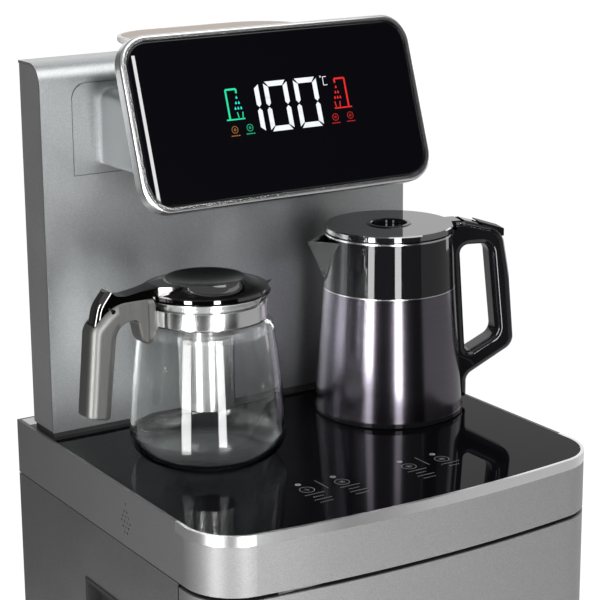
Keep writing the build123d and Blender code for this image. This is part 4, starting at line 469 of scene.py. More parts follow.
def place_group(tree, group, **values):
    """Puts a shared effect into a material with its own values."""
    node = tree.nodes.new("ShaderNodeGroup")
    node.node_tree = group
    for label, value in values.items():
        node.inputs[label.replace("_", " ")].default_value = value
    return node


def raise_bump(tree, shader, height, strength, depth):
    """Feeds a height into the shader's normal."""
    bump = tree.nodes.new("ShaderNodeBump")
    bump.inputs["Strength"].default_value = strength
    bump.inputs["Distance"].default_value = depth
    tree.links.new(height, bump.inputs["Height"])
    tree.links.new(bump.outputs[0], shader.inputs["Normal"])


def flake_paint(name, dark, light, coat=0.04, smooth=0.36, coarse=0.42, metal=1.0):
    """Metallic paint under a clear coat."""
    finish, tree, shader = new_finish(name, Metallic=metal, Coat_Weight=coat, Coat_Roughness=COAT_ROUGHNESS)
    flakes = place_group(tree, flake_group, Dark=dark, Light=light, Smooth=smooth, Coarse=coarse)
    tree.links.new(flakes.outputs["Color"], shader.inputs["Base Color"])
    tree.links.new(flakes.outputs["Gloss"], shader.inputs["Roughness"])
    raise_bump(tree, shader, flakes.outputs["Height"], FLAKE_BUMP, FLAKE_DEPTH)
    return finish


def brushed_metal(name, stretch, dark, light, smooth, coarse, bump=0.08):
    """Bare metal with fine lines in one direction."""
    finish, tree, shader = new_finish(name, Metallic=1.0)
    lines = place_group(
        tree, brush_group, Stretch=stretch, Dark=dark, Light=light, Smooth=smooth, Coarse=coarse
    )
    tree.links.new(lines.outputs["Color"], shader.inputs["Base Color"])
    tree.links.new(lines.outputs["Gloss"], shader.inputs["Roughness"])
    raise_bump(tree, shader, lines.outputs["Height"], bump, BRUSH_DEPTH)
    return finish


def wiped_gloss(name, colour, metallic, clean, smeared, size=9.0, **sockets):
    """A polished surface with faint smears."""
    finish, tree, shader = new_finish(name, Base_Color=colour, Metallic=metallic, **sockets)
    smears = place_group(tree, smear_group, Clean=clean, Smeared=smeared, Size=size)
    tree.links.new(smears.outputs["Gloss"], shader.inputs["Roughness"])
    return finish


def pebbled_plastic(name, dark, light, pebbles=PEBBLES_PER_METRE, bump=0.15):
    """Moulded plastic or rubber with a fine pebble."""
    finish, tree, shader = new_finish(name)
    grain = place_group(tree, pebble_group, Dark=dark, Light=light, Pebbles_per_metre=pebbles)
    tree.links.new(grain.outputs["Color"], shader.inputs["Base Color"])
    tree.links.new(grain.outputs["Gloss"], shader.inputs["Roughness"])
    raise_bump(tree, shader, grain.outputs["Height"], bump, PEBBLE_DEPTH)
    return finish


def dress(finish, *names):
    """Gives CAD nodes their finish."""
    for name in names:
        slots = nodes[name].data.materials
        slots.clear()
        slots.append(finish)
    print(finish.name, "on", ", ".join(names))


# %% [markdown]
# The cabinet's sides are a dark grey copy of the metallic paint: painted shade, for sides turned away from
# the lamps. The column and the head are a lighter silver: one recipe with other flake colours. Two paints
# change along the depth of the object, with painted shade. The band under the worktop is silver in front,
# and behind its rounded corners painted shade makes it nearly as dark as the sides. The head's arm is full
# silver where its plate lies on the column, and painted shade darkens it in front of the plate, along the
# neck, where the head shades it. A mask along Y keeps this painted shade on the object, where a lamp
# couldn't hold it in every view.

# %% Painted sheet metal
NECK_END = 111 * MM
PLATE_FACE = 116 * MM
CORNER_FRONT = -168 * MM
CORNER_BACK = -128 * MM


def shade_along_y(finish, front, back, front_share, back_share, shade):
    """Paints shade into a paint along Y; the shares say how much of the paint is left at each end."""
    tree = finish.node_tree
    paint = tree.nodes["Principled BSDF"].inputs["Base Color"]
    colour = paint.links[0].from_socket
    place = tree.nodes.new("ShaderNodeTexCoord")
    split = tree.nodes.new("ShaderNodeSeparateXYZ")
    tree.links.new(place.outputs["Object"], split.inputs[0])
    mask = range_node(tree, split.outputs["Y"], front, back, front_share, back_share)
    tree.links.new(blend_node(tree, mask, shade, colour), paint)


SILVER_DARK = (0.475, 0.49, 0.495, 1)
SILVER_LIGHT = (0.64, 0.66, 0.665, 1)
SILVER_COAT = 0.15
NECK_PAINTED_SHADE = (0.12, 0.125, 0.13, 1)
BAND_PAINTED_SHADE = grey(0.08)
# The sides' darker copy of the silver paint is painted shade, for sides turned away from the lamps
side_paint_painted_shade = flake_paint("side_paint_painted_shade", grey(0.3), grey(0.42))
silver_paint = flake_paint("silver_paint", SILVER_DARK, SILVER_LIGHT, SILVER_COAT)
band_paint_painted_shade = flake_paint("band_paint_painted_shade", grey(0.22), grey(0.31), coat=0.0, smooth=0.44, coarse=0.5, metal=0.5)
end_paint = flake_paint("end_paint", grey(0.62), grey(0.78))
neck_paint_painted_shade = flake_paint("neck_paint_painted_shade", SILVER_DARK, SILVER_LIGHT, SILVER_COAT)
# Painted shade: the neck darkens in front of its plate, where the head shades it
shade_along_y(neck_paint_painted_shade, NECK_END, PLATE_FACE, front_share=0.35, back_share=1.0, shade=NECK_PAINTED_SHADE)
# Painted shade: the band darkens behind its front corners, on the sides turned from the lamps
shade_along_y(band_paint_painted_shade, CORNER_FRONT, CORNER_BACK, front_share=1.0, back_share=0.3, shade=BAND_PAINTED_SHADE)
dress(side_paint_painted_shade, "side_panel_left", "side_panel_right")
dress(silver_paint, "column_skin", "rear_deck")
dress(band_paint_painted_shade, "worktop_band", "door_skin")
dress(end_paint, "column_ends")
dress(neck_paint_painted_shade, "head_arm", "display_back")

# %% [markdown]
# The worktop and the screen are black glass: a black print seen through a polished face. A clear pane
# over a black plate would look the same and render far slower, so each is one black body and its polish
# does the work. The worktop mirrors the room only faintly, so its index of refraction is kept low.

# %% Black glass
GLASS_BLACK = (0.003, 0.003, 0.004, 1.0)
SCREEN_BLACK = (0.002, 0.002, 0.003, 1.0)
black_glass = wiped_gloss("black_glass", GLASS_BLACK, 0.0, clean=0.0, smeared=0.008, size=6.0, IOR=1.11)
screen_glass = wiped_gloss("screen_glass", SCREEN_BLACK, 0.0, clean=0.0, smeared=0.03, size=8.0, IOR=1.48)
dress(black_glass, "glass_top")
dress(screen_glass, "display_glass")

# %% [markdown]
# Bright metal is one recipe with more or less polish. The outlets and the lid pins are polished, the
# teapot's collar and the kettle's spout a little less. The trim round the worktop and the frame of the
# screen are satin, so they show broad light and no sharp images. The teapot's lid is a dark mirror.

# %% Chrome and polished steel
LID_MIRROR = (0.15, 0.145, 0.145, 1.0)
chrome = wiped_gloss("polished_chrome", grey(0.82), 1.0, clean=0.05, smeared=0.14)
satin_chrome = wiped_gloss("satin_chrome", grey(0.74), 1.0, clean=0.24, smeared=0.27)
trim_chrome = wiped_gloss("trim_chrome", grey(0.86), 1.0, clean=0.3, smeared=0.36)
collar_steel = wiped_gloss("collar_steel", grey(0.82), 1.0, clean=0.16, smeared=0.26)
dark_mirror = wiped_gloss("dark_mirror", LID_MIRROR, 1.0, clean=0.05, smeared=0.12)
dress(trim_chrome, "trim_strip")
dress(chrome, "outlet_nozzles", "teapot_lid_pin", "kettle_lid_pin")
dress(collar_steel, "teapot_collar", "kettle_spout")
dress(satin_chrome, "display_bezel")
dress(dark_mirror, "teapot_lid")

# %% [markdown]
# The kettle's body is brushed round and tinted, so its lines run level: the noise is squeezed upwards.
# The teapot's handle is brushed along the grip, so its lines run up and down. The sheets at the back
# are zinc-coated: with no squeeze at all, the same noise gives the blotches of the zinc.

# %% Brushed metal
ROUND_THE_BODY = (9.0, 9.0, 7000.0)
ALONG_THE_GRIP = (5000.0, 5000.0, 16.0)
EVENLY = (90.0, 90.0, 90.0)
PLUM_DARK = (0.15, 0.135, 0.165, 1)
PLUM_LIGHT = (0.2, 0.182, 0.215, 1)
GRIP_DARK = (0.17, 0.17, 0.163, 1)
GRIP_LIGHT = (0.23, 0.23, 0.222, 1)
plum_steel = brushed_metal("plum_steel", ROUND_THE_BODY, PLUM_DARK, PLUM_LIGHT, 0.14, 0.19, bump=0.02)
bare_steel = brushed_metal("bare_steel", ROUND_THE_BODY, grey(0.62), grey(0.74), 0.14, 0.24, bump=0.03)
grip_steel = brushed_metal("grip_steel", ALONG_THE_GRIP, GRIP_DARK, GRIP_LIGHT, 0.42, 0.5, bump=0.04)
zinc_sheet = brushed_metal("zinc_sheet", EVENLY, grey(0.42), grey(0.6), 0.3, 0.5, bump=0.03)
dress(plum_steel, "kettle_shell")
dress(bare_steel, "kettle_liner", "hot_tank", "warming_plate", "kettle_heater", "case_screws")
dress(grip_steel, "teapot_handle")
dress(zinc_sheet, "rear_panel", "deck_plate", "column_back_panel", "hinge_pins", "door_magnet")

# %% [markdown]
# High-gloss black plastic needs almost no colour: what shows is what it mirrors.
# The kettle's lid mirrors most, so its index of refraction is raised. The hidden mouldings are matt
# and pebbled, and the feet are rubber with a coarser pebble.

# %% Plastics and rubber
PLASTIC_BLACK = (0.006, 0.006, 0.007, 1.0)
gloss_black = wiped_gloss("gloss_black", PLASTIC_BLACK, 0.0, clean=0.03, smeared=0.1, size=14.0, IOR=1.5)
lid_black = wiped_gloss("lid_black", PLASTIC_BLACK, 0.0, clean=0.04, smeared=0.1, size=14.0, IOR=3.0)
matt_black = pebbled_plastic("matt_black", grey(0.012), grey(0.024))
foot_rubber = pebbled_plastic("foot_rubber", grey(0.02), grey(0.035), pebbles=700.0, bump=0.3)
dress(lid_black, "kettle_lid")
dress(gloss_black, "kettle_base", "kettle_collar", "kettle_fill_ring", "kettle_flap", "kettle_handle",
      "kettle_button", "kettle_hub")
dress(matt_black, "base_pan", "door_liner", "door_pull", "side_grip_left", "side_grip_right", "column_foot",
      "switch_frame", "mains_rocker", "cord_gland", "rear_housing", "pump", "speaker")
dress(foot_rubber, "feet")

# %% [markdown]
# The cap on top of the column has a white rim round a tan brushed plate. The plate's lines run from
# side to side, so here the noise is squeezed from front to back.

# %% Cap
SIDE_TO_SIDE = (12.0, 1500.0, 12.0)
TAN_DARK = (0.33, 0.25, 0.19, 1)
TAN_LIGHT = (0.46, 0.36, 0.29, 1)
cap_white = wiped_gloss("cap_white", grey(0.78), 0.0, clean=0.12, smeared=0.22)
cap_tan = brushed_metal("cap_tan", SIDE_TO_SIDE, TAN_DARK, TAN_LIGHT, 0.25, 0.38)
dress(cap_white, "cap_body")
dress(cap_tan, "cap_inlay")

# %% [markdown]
# The works under the worktop and in the column are seldom seen, but a cut model or an open door shows
# some of them, so the boards are green and the hoses milky like silicone.

# %% Inner works
BOARD_DARK = (0.01, 0.07, 0.03, 1)
BOARD_LIGHT = (0.03, 0.16, 0.07, 1)
board_green = pebbled_plastic("board_green", BOARD_DARK, BOARD_LIGHT, pebbles=500.0, bump=0.2)
hose_clear = pebbled_plastic("hose_clear", grey(0.6), grey(0.75), pebbles=400.0, bump=0.1)
dress(board_green, "control_board", "touch_board", "display_board")
dress(hose_clear, "water_tubes")

# %% [markdown]
# The teapot's jar is clear glass with a trace of green, which shows where the light runs
# along the wall. Its transmission is a plain value, and only faint smears change its roughness.
# Real glass throws hardly any shadow, but the renderer would give it a full one, so it throws none.

# %% Clear glass
JAR_TINT = (0.985, 1.0, 0.993, 1.0)
clear_glass = wiped_gloss(
    "clear_glass", JAR_TINT, 0.0, clean=0.0, smeared=0.02, size=12.0, Transmission_Weight=1.0, IOR=1.46
)
dress(clear_glass, "teapot_jar")
nodes["teapot_jar"].visible_shadow = False

# %% [markdown]
# New pieces are meshes built in code. One helper puts a finished mesh into the scene,
# makes it ride on its body and gives it its finish.

# %% Piece tools
def add_piece(name, mesh_builder, finish, body):
    """Turns a bmesh into a piece that rides on a body."""
    mesh = bpy.data.meshes.new(name)
    bmesh.ops.recalc_face_normals(mesh_builder, faces=mesh_builder.faces)
    mesh_builder.to_mesh(mesh)
    mesh_builder.free()
    mesh.materials.append(finish)
    piece = bpy.data.objects.new(name, mesh)
    scene.collection.objects.link(piece)
    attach(piece, body)
    print(name, "has", len(mesh.polygons), "faces")
    return piece


class Sheet:
    """A flat place on the object: an origin, two directions along it and one out of it, in millimetres."""

    def __init__(self, origin, right, up):
        self.origin = Vector(origin)
        self.right = Vector(right).normalized()
        self.up = Vector(up).normalized()
        self.out = self.right.cross(self.up)

    def at(self, x, y, lift):
        """A point of the sheet, lifted off it, in metres."""
        return (self.origin + self.right * x + self.up * y + self.out * lift) * MM


def slab(builder, sheet, outline, low, high):
    """A closed plate with a given outline, from one lift to another."""
    bottom = [builder.verts.new(sheet.at(x, y, low)) for x, y in outline]
    top = [builder.verts.new(sheet.at(x, y, high)) for x, y in outline]
    builder.faces.new(top)
    builder.faces.new(bottom[::-1])
    for n in range(len(outline)):
        after = (n + 1) % len(outline)
        builder.faces.new((bottom[n], bottom[after], top[after], top[n]))


def circle_points(x, y, radius, count):
    """Points round a circle."""
    angles = [math.tau * n / count for n in range(count)]
    return [(x + radius * math.cos(angle), y + radius * math.sin(angle)) for angle in angles]


def ring(builder, sheet, x, y, radius, width, low, high, count=40):
    """A flat closed ring."""
    loops = []
    for size in (radius + width / 2, radius - width / 2):
        points = circle_points(x, y, size, count)
        for lift in (low, high):
            loops.append([builder.verts.new(sheet.at(px, py, lift)) for px, py in points])
    outer_low, outer_high, inner_low, inner_high = loops
    for n in range(count):
        after = (n + 1) % count
        builder.faces.new((outer_low[n], outer_low[after], outer_high[after], outer_high[n]))
        builder.faces.new((inner_low[after], inner_low[n], inner_high[n], inner_high[after]))
        builder.faces.new((outer_high[n], outer_high[after], inner_high[after], inner_high[n]))
        builder.faces.new((outer_low[after], outer_low[n], inner_low[n], inner_low[after]))


def stroke(builder, sheet, start, end, width, low, high):
    """A straight bar between two points."""
    along = (Vector(end) - Vector(start)).normalized()
    across = Vector((-along.y, along.x)) * width / 2
    a, b = Vector(start), Vector(end)
    corners = [a - across, b - across, b + across, a + across]
    slab(builder, sheet, [tuple(corner) for corner in corners], low, high)


# %% [markdown]
# The screen lights up behind black glass: a white temperature in bars, a green outlet symbol on the left
# and a red one on the right. A lit shape is a thin plate that glows, lying on the glass. Paint on the glass
# itself would need a picture, and a plate keeps its edges sharp at any size.

# %% Lit finishes
UNLIT_COLOUR = (0.02, 0.02, 0.02, 1.0)
UNLIT_ROUGHNESS = 0.4
DIM_SHARE = 0.82
GLOW_CLOUD_SIZE = 60.0
GREEN_GLOW = (0.0, 0.9, 0.42)
RED_GLOW = (0.95, 0.0, 0.0)


def lit_finish(name, colour, strength):
    """A lit symbol: a glow that varies slightly over the shape, as a lamp behind it makes it."""
    finish, tree, shader = new_finish(
        name, Base_Color=UNLIT_COLOUR, Roughness=UNLIT_ROUGHNESS, Specular_IOR_Level=0.0,
        Emission_Strength=strength,
    )
    smears = place_group(tree, smear_group, Clean=0.0, Smeared=1.0, Size=GLOW_CLOUD_SIZE)
    dim = tuple(DIM_SHARE * v for v in colour) + (1.0,)
    glow = blend_node(tree, smears.outputs["Mask"], colour + (1.0,), dim)
    tree.links.new(glow, shader.inputs["Emission Color"])
    return finish


lit_white = lit_finish("lit_white", (0.93, 0.96, 1.0), 1.0)
lit_green = lit_finish("lit_green", GREEN_GLOW, 0.9)
lit_cyan = lit_finish("lit_cyan", (0.0, 0.95, 0.75), 0.9)
lit_red = lit_finish("lit_red", RED_GLOW, 0.9)
lit_amber = lit_finish("lit_amber", (0.62, 0.25, 0.02), 0.6)
dim_green = lit_finish("dim_green", GREEN_GLOW, 0.55)
dim_red = lit_finish("dim_red", RED_GLOW, 0.6)
print("lit finishes ready")

# %% [markdown]
# The screen leans back. Its outer face is found from the glass itself: the point that stands out furthest
# along the face's normal. Everything lit is drawn on that sheet, in millimetres from its middle.

# %% Screen sheet
SCREEN_TILT = math.radians(18.76)
LIFT_LOW = 0.02
LIFT_HIGH = 0.14

glass = nodes["display_glass"]
screen_low, screen_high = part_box("display_glass")
screen_middle = (screen_low + screen_high) / 2
screen_out = Vector((0, -math.cos(SCREEN_TILT), math.sin(SCREEN_TILT)))
screen_up = Vector((0, math.sin(SCREEN_TILT), math.cos(SCREEN_TILT)))
screen_face = max((glass.matrix_world @ v.co).dot(screen_out) for v in glass.data.vertices)
screen_middle += screen_out * (screen_face - screen_middle.dot(screen_out))
screen = Sheet(screen_middle / MM, (1, 0, 0), screen_up)
print("screen middle", [round(v, 4) for v in screen_middle])

# %% [markdown]
# The digits are drawn the way such displays are made: seven bars with pointed ends,
# of which each figure lights its own. A font would be quicker, but its letters are rounder.

# %% Digits
DIGIT_WIDTH = 24.4
DIGIT_HEIGHT = 45.0
BAR = 4.6
BAR_GAP = 0.5
DIGIT_MIDDLE_Y = 4.7
DIGIT_LEFTS = (-44.0, -14.2, 17.0)
FIGURES = {"1": "BC", "0": "ABCDEF"}


def bar_shape(name, left):
    """Outline of one of the seven bars; A is the top one and the others follow clockwise."""
    right = left + DIGIT_WIDTH
    top = DIGIT_MIDDLE_Y + DIGIT_HEIGHT / 2
    bottom = DIGIT_MIDDLE_Y - DIGIT_HEIGHT / 2
    middle = DIGIT_MIDDLE_Y
    half = BAR / 2
    if name in "AD":
        edge, inner = (top, top - BAR) if name == "A" else (bottom, bottom + BAR)
        return [(left + BAR_GAP + half / 2, edge), (right - BAR_GAP - half / 2, edge),
                (right - BAR - BAR_GAP, inner), (left + BAR + BAR_GAP, inner)]
    outer, inner = (right, right - BAR) if name in "BC" else (left, left + BAR)
    end, near = (top, middle) if name in "BF" else (bottom, middle)
    sign = 1 if end > near else -1
    return [(outer, end - sign * (BAR_GAP + half / 2)), (inner, end - sign * (BAR + BAR_GAP)),
            (inner, near + sign * (half + BAR_GAP)), ((outer + inner) / 2, near + sign * BAR_GAP),
            (outer, near + sign * (half + BAR_GAP))]


digits = bmesh.new()
for figure, left in zip("100", DIGIT_LEFTS):
    for bar in FIGURES[figure]:
        slab(digits, screen, bar_shape(bar, left), LIFT_LOW, LIFT_HIGH)
add_piece("screen_digits", digits, lit_white, "cabinet")

# %% Degree sign
SIGN_WIDTH = 0.6
SIGN_STROKES = (
    ((48.9, 26.2), (52.4, 26.2)),
    ((48.6, 26.4), (48.6, 18.4)),
    ((48.9, 18.6), (52.6, 18.6)),
)

degree = bmesh.new()
ring(degree, screen, x=46.3, y=26.6, radius=0.6, width=0.4, low=LIFT_LOW, high=LIFT_HIGH, count=16)
for start, end in SIGN_STROKES:
    stroke(degree, screen, start, end, SIGN_WIDTH, LIFT_LOW, LIFT_HIGH)
add_piece("screen_degree_sign", degree, lit_white, "cabinet")

# %% [markdown]
# The outlet symbols: a bent pipe, falling drops and a vessel. The right one mirrors the left one.

# %% Outlet symbols
PIPE_WIDTH = 1.7
PIPE_TOP = 23.4
PIPE_FOOT = -3.4
PIPE_END = 19.6
POST_REACH = 5.6
TIP_REACH = 5.0
BASE_WIDTH = 1.2
BASE_BACK = 9.0
BASE_FRONT = 9.6
CUP_REACH = 5.6
CUP_WIDTH = 0.9
CUP_TOP_HALF = 2.8
CUP_FOOT_HALF = 2.0
CUP_RIM = 2.7
CUP_FOOT = -2.4
DROP_ROWS = (1, 2, 3)
DROP_TOP = 16.0
DROP_PITCH = 4.8
DROP_SPREAD = 2.9
DROP_SHIFT = 0.5
DROP_SHAPE = ((-1.0, -0.6), (-0.5, -1.3), (0.5, -1.3), (1.0, -0.6), (0.0, 1.5))


def outlet_symbol(name, middle, side, frame_finish, drop_finish):
    """A tap symbol; side is 1 with its post on the left and -1 with its post on the right."""
    pipe = bmesh.new()
    post_x, tip_x, cup = middle - side * POST_REACH, middle + side * TIP_REACH, middle + side * CUP_REACH
    bends = [(post_x, PIPE_FOOT), (post_x, PIPE_TOP), (tip_x, PIPE_TOP), (tip_x, PIPE_END)]
    for start, end in zip(bends, bends[1:]):
        stroke(pipe, screen, start, end, PIPE_WIDTH, LIFT_LOW, LIFT_HIGH)
    base_start, base_end = (middle - side * BASE_BACK, PIPE_FOOT), (middle + side * BASE_FRONT, PIPE_FOOT)
    stroke(pipe, screen, base_start, base_end, BASE_WIDTH, LIFT_LOW, LIFT_HIGH)
    for hand in (-1, 1):
        rim, foot = (cup + hand * CUP_TOP_HALF, CUP_RIM), (cup + hand * CUP_FOOT_HALF, CUP_FOOT)
        stroke(pipe, screen, rim, foot, CUP_WIDTH, LIFT_LOW, LIFT_HIGH)
    add_piece(name + "_pipe", pipe, frame_finish, "cabinet")
    drops = bmesh.new()
    for row, count in enumerate(DROP_ROWS):
        for n in range(count):
            x = tip_x + side * (n - row * 0.5) * DROP_SPREAD - side * DROP_SHIFT
            y = DROP_TOP - row * DROP_PITCH
            slab(drops, screen, [(x + dx, y + dy) for dx, dy in DROP_SHAPE], LIFT_LOW, LIFT_HIGH)
    add_piece(name + "_drops", drops, drop_finish, "cabinet")


outlet_symbol("teapot_outlet_symbol", -48.0, 1, lit_green, lit_cyan)
outlet_symbol("kettle_outlet_symbol", 65.5, -1, lit_red, lit_red)

# %% [markdown]
# Four state lamps stand below the symbols, each a ring round a small ring with a row of dashes under it.
# They glow less than the symbols, so they take the dimmer finishes. All four are one function's work.

# %% State lamps
STATE_RADIUS = 3.0
STATE_DOT_RADIUS = 0.9
STATE_LINE = 0.5
STATE_DASHES = 4
STATE_DASH_START = 4.3
STATE_DASH_PITCH = 2.3
STATE_DASH_LENGTH = 1.7
STATE_DASH_WIDTH = 0.8
STATE_DASH_DROP = 5.3


def state_symbol(name, x, y, finish):
    """A small state lamp: a ring with a dot and a row of dashes below it."""
    lamp = bmesh.new()
    ring(lamp, screen, x, y, STATE_RADIUS, STATE_LINE, LIFT_LOW, LIFT_HIGH, 24)
    ring(lamp, screen, x, y, STATE_DOT_RADIUS, STATE_LINE, LIFT_LOW, LIFT_HIGH, 16)
    dash_y = y - STATE_DASH_DROP
    for dash in range(STATE_DASHES):
        left = x - STATE_DASH_START + dash * STATE_DASH_PITCH
        right = left + STATE_DASH_LENGTH
        stroke(lamp, screen, (left, dash_y), (right, dash_y), STATE_DASH_WIDTH, LIFT_LOW, LIFT_HIGH)
    add_piece(name, lamp, finish, "cabinet")


state_symbol("state_keep_warm", -50.8, -12.4, lit_amber)
state_symbol("state_teapot_fill", -35.4, -12.0, dim_green)
state_symbol("state_kettle_fill", 54.8, -11.4, dim_red)
state_symbol("state_kettle_boil", 70.9, -11.2, dim_red)

# %% [markdown]
# Four touch keys are printed in grey at the front of the worktop glass. Each has a ring with a sign,
# a small lamp behind it and rows of small dashes in front.
# The ink is a plate of a few hundredths of a millimetre, so it catches no light at its edges.

# %% Touch keys
print_ink = pebbled_plastic("print_ink", grey(0.13), grey(0.21), 900.0, 0.02)
lamp_ink = pebbled_plastic("lamp_ink", grey(0.3), grey(0.42), 900.0, 0.02)
worktop_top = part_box("glass_top")[1].z / MM
worktop = Sheet((0, 0, worktop_top), (1, 0, 0), (0, 1, 0))
KEY_XS = (-72.0, -36.6, 33.0, 68.4)
KEY_Y = -116.3
KEY_RADIUS = 6.4
KEY_LINE = 0.55
KEY_SPOKE_SHARE = 0.5
KEY_SPOKE_LINE = 0.7
FULL_PRINT_KEYS = 3
SHORT_PRINT = 2
LAMP_Y = -102.3
LAMP_RADIUS = 2.0
LAMP_LINE = 0.9
LAMP_DOT = 0.7
PRINT_LINES = (-127.5, -134.0, -140.5, -147.0)
PRINT_HALVES = (9.0, 5.0, 8.0, 6.5)
DASH = 1.5
DASH_GAP = 0.7
DASH_WIDTH = 0.9
DIVIDER_XS = (-54.6, 50.5)
DIVIDER_BACK = -101.0
DIVIDER_FRONT = -122.5
DIVIDER_WIDTH = 0.6
INK_LOW = 0.005
INK_HIGH = 0.05

for number, key_x in enumerate(KEY_XS):
    key = bmesh.new()
    ring(key, worktop, key_x, KEY_Y, KEY_RADIUS, KEY_LINE, INK_LOW, INK_HIGH)
    for spoke in range(number + 2):
        angle = math.pi * spoke / (number + 2)
        reach = Vector((math.cos(angle), math.sin(angle))) * KEY_RADIUS * KEY_SPOKE_SHARE
        centre = Vector((key_x, KEY_Y))
        stroke(key, worktop, centre - reach, centre + reach, KEY_LINE * KEY_SPOKE_LINE, INK_LOW, INK_HIGH)
    rows = PRINT_LINES if number < FULL_PRINT_KEYS else PRINT_LINES[:SHORT_PRINT]
    for row_y, half in zip(rows, PRINT_HALVES):
        left = key_x - half
        while left < key_x + half:
            stroke(key, worktop, (left, row_y), (left + DASH, row_y), DASH_WIDTH, INK_LOW, INK_HIGH)
            left += DASH + DASH_GAP
    add_piece("touch_key_" + str(number + 1), key, print_ink, "cabinet")
    lamp = bmesh.new()
    ring(lamp, worktop, key_x, LAMP_Y, LAMP_RADIUS, LAMP_LINE, INK_LOW, INK_HIGH, 24)
    slab(lamp, worktop, circle_points(key_x, LAMP_Y, LAMP_DOT, 12), INK_LOW, INK_HIGH)
    add_piece("touch_lamp_" + str(number + 1), lamp, lamp_ink, "cabinet")

# %% Dividers between the keys
dividers = bmesh.new()
for x in DIVIDER_XS:
    stroke(dividers, worktop, (x, DIVIDER_BACK), (x, DIVIDER_FRONT), DIVIDER_WIDTH, INK_LOW, INK_HIGH)
add_piece("touch_dividers", dividers, print_ink, "cabinet")

# %% [markdown]
# The tea strainer is a steel cup with hundreds of small holes, hung by a flange in the teapot's neck.
# Cutting the holes one by one out of a solid would be slow, and a picture of holes would look flat from
# near by. So each hole sits in its own small field of the wall: eight faces between the edge of the field
# and an eight-sided hole. The fields are then joined, and the wall gets its thickness at the end.

# %% Strainer sizes
infuser_low, infuser_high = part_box("teapot_infuser")
INFUSER_AXIS = ((infuser_low + infuser_high) / 2).xy / MM
INFUSER_BOTTOM = infuser_low.z / MM
INFUSER_TOP = infuser_high.z / MM
INFUSER_RADIUS = 24.5
FLANGE_RADIUS = (infuser_high.x - infuser_low.x) / 2 / MM
WALL = 0.8
SHEET_THICKNESS = 0.4
CUP_TOP = INFUSER_BOTTOM + 68.0
SKIRT_RADIUS = 49.6
SKIRT_BOTTOM = INFUSER_BOTTOM + 79.0
FLOOR_ROUND = 1.2
FLOOR_SHARE = 0.5
HOLE_COLUMNS = 72
HOLE_ROWS = 30
HOLE_LOW = INFUSER_BOTTOM + 8.0
HOLE_HIGH = INFUSER_BOTTOM + 60.0
HOLE_SHARE = 0.27
JOIN_DISTANCE = 0.01 * MM


def turned(radius, angle, z):
    """A point round the strainer's axis."""
    x = INFUSER_AXIS.x + radius * math.cos(angle)
    y = INFUSER_AXIS.y + radius * math.sin(angle)
    return Vector((x, y, z)) * MM


print("strainer has", HOLE_COLUMNS * HOLE_ROWS, "holes")

# %% Strainer holes
FIELD_EDGE = [(-0.5, -0.5), (0, -0.5), (0.5, -0.5), (0.5, 0), (0.5, 0.5), (0, 0.5), (-0.5, 0.5), (-0.5, 0)]
field_width = math.tau / HOLE_COLUMNS
field_height = (HOLE_HIGH - HOLE_LOW) / HOLE_ROWS


def field_point(angle, z, across, along):
    """A point of a hole's field, measured from its middle in shares of its width and height."""
    return turned(INFUSER_RADIUS, angle + across * field_width, z + along * field_height)


strainer = bmesh.new()
for row in range(HOLE_ROWS):
    for column in range(HOLE_COLUMNS):
        angle = (column + 0.5) * field_width
        z = HOLE_LOW + (row + 0.5) * field_height
        edge = [strainer.verts.new(field_point(angle, z, u, v)) for u, v in FIELD_EDGE]
        hole = []
        for u, v in FIELD_EDGE:
            turn_to = math.atan2(v, u)
            across, along = math.cos(turn_to) * HOLE_SHARE, math.sin(turn_to) * HOLE_SHARE
            hole.append(strainer.verts.new(field_point(angle, z, across, along)))
        for n in range(len(FIELD_EDGE)):
            after = (n + 1) % len(FIELD_EDGE)
            strainer.faces.new((edge[n], edge[after], hole[after], hole[n]))
print("holed wall has", len(strainer.faces), "faces")

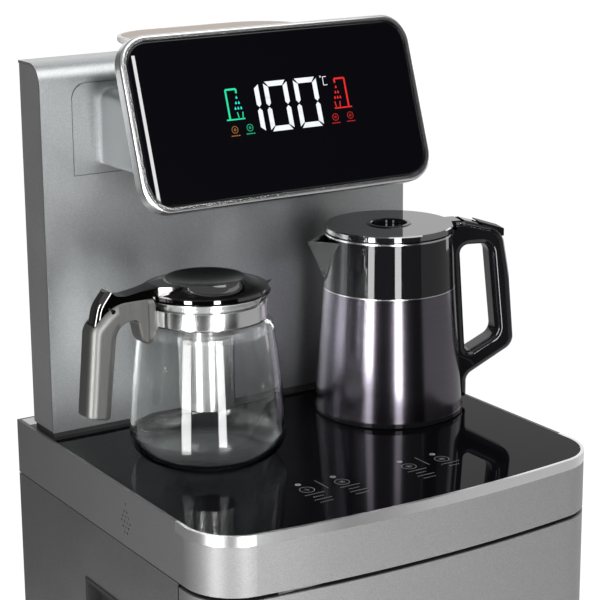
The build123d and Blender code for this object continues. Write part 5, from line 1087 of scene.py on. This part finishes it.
# %% Strainer walls and flange
ring_steps = HOLE_COLUMNS * 2
profile = [(INFUSER_RADIUS, HOLE_HIGH), (INFUSER_RADIUS, CUP_TOP), (SKIRT_RADIUS, SKIRT_BOTTOM),
           (SKIRT_RADIUS, INFUSER_TOP - WALL), (FLANGE_RADIUS, INFUSER_TOP - WALL)]
base = [(INFUSER_RADIUS, HOLE_LOW), (INFUSER_RADIUS, INFUSER_BOTTOM + FLOOR_ROUND),
        (INFUSER_RADIUS - FLOOR_ROUND, INFUSER_BOTTOM), (INFUSER_RADIUS * FLOOR_SHARE, INFUSER_BOTTOM)]
steps = [math.tau * n / ring_steps for n in range(ring_steps)]
for path in (profile, base):
    loops = [[strainer.verts.new(turned(r, angle, z)) for angle in steps] for r, z in path]
    for lower, upper in zip(loops, loops[1:]):
        for n in range(ring_steps):
            after = (n + 1) % ring_steps
            strainer.faces.new((lower[n], lower[after], upper[after], upper[n]))
    if path is base:
        strainer.faces.new(loops[-1])
bmesh.ops.remove_doubles(strainer, verts=strainer.verts, dist=JOIN_DISTANCE)
strainer_piece = add_piece("tea_strainer", strainer, bare_steel, "teapot")
thicken = strainer_piece.modifiers.new("wall", "SOLIDIFY")
thicken.thickness = SHEET_THICKNESS * MM
thicken.offset = -1.0
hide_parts("teapot_infuser")

# %% [markdown]
# A fine bright line runs round the kettle where the steel meets the black collar: the rolled edge
# of the steel. A ring half a millimetre wide shows it, laid round the collar's foot.

# %% Kettle seam line
SEAM_COUNT = 96
SEAM_WIDTH = 0.5
SEAM_HALF = 0.35

collar_low, collar_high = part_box("kettle_collar")
collar_middle = (collar_low + collar_high) / 2 / MM
seam_radius = (collar_high.x - collar_low.x) / 2 / MM
seam_sheet = Sheet((collar_middle.x, collar_middle.y, collar_low.z / MM), (1, 0, 0), (0, 1, 0))
seam = bmesh.new()
ring(seam, seam_sheet, 0, 0, seam_radius, SEAM_WIDTH, -SEAM_HALF, SEAM_HALF, SEAM_COUNT)
add_piece("kettle_seam_line", seam, satin_chrome, "kettle")

# %% [markdown]
# The six case screws on the back have crossed recesses. From a step away only the shade in them shows,
# so two black bars on each head stand for the cut: painted shade in the recesses.

# %% Screw recesses
SCREW_XS = (-193.0, 193.0)
SCREW_ZS = (110.0, 370.0, 630.0)
CROSS_HALF = 1.5
CROSS_WIDTH = 0.7
CROSS_LOW = -0.05
CROSS_HIGH = 0.02

screw_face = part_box("case_screws")[1].y / MM
back = Sheet((0, screw_face, 0), (-1, 0, 0), (0, 0, 1))
crosses = bmesh.new()
for x in SCREW_XS:
    for z in SCREW_ZS:
        level = (-x - CROSS_HALF, z), (-x + CROSS_HALF, z)
        upright = (-x, z - CROSS_HALF), (-x, z + CROSS_HALF)
        for start, end in (level, upright):
            stroke(crosses, back, start, end, CROSS_WIDTH, CROSS_LOW, CROSS_HIGH)
# Black bars of painted shade for the screws' recesses
add_piece("screw_recess_painted_shade", crosses, matt_black, "cabinet")
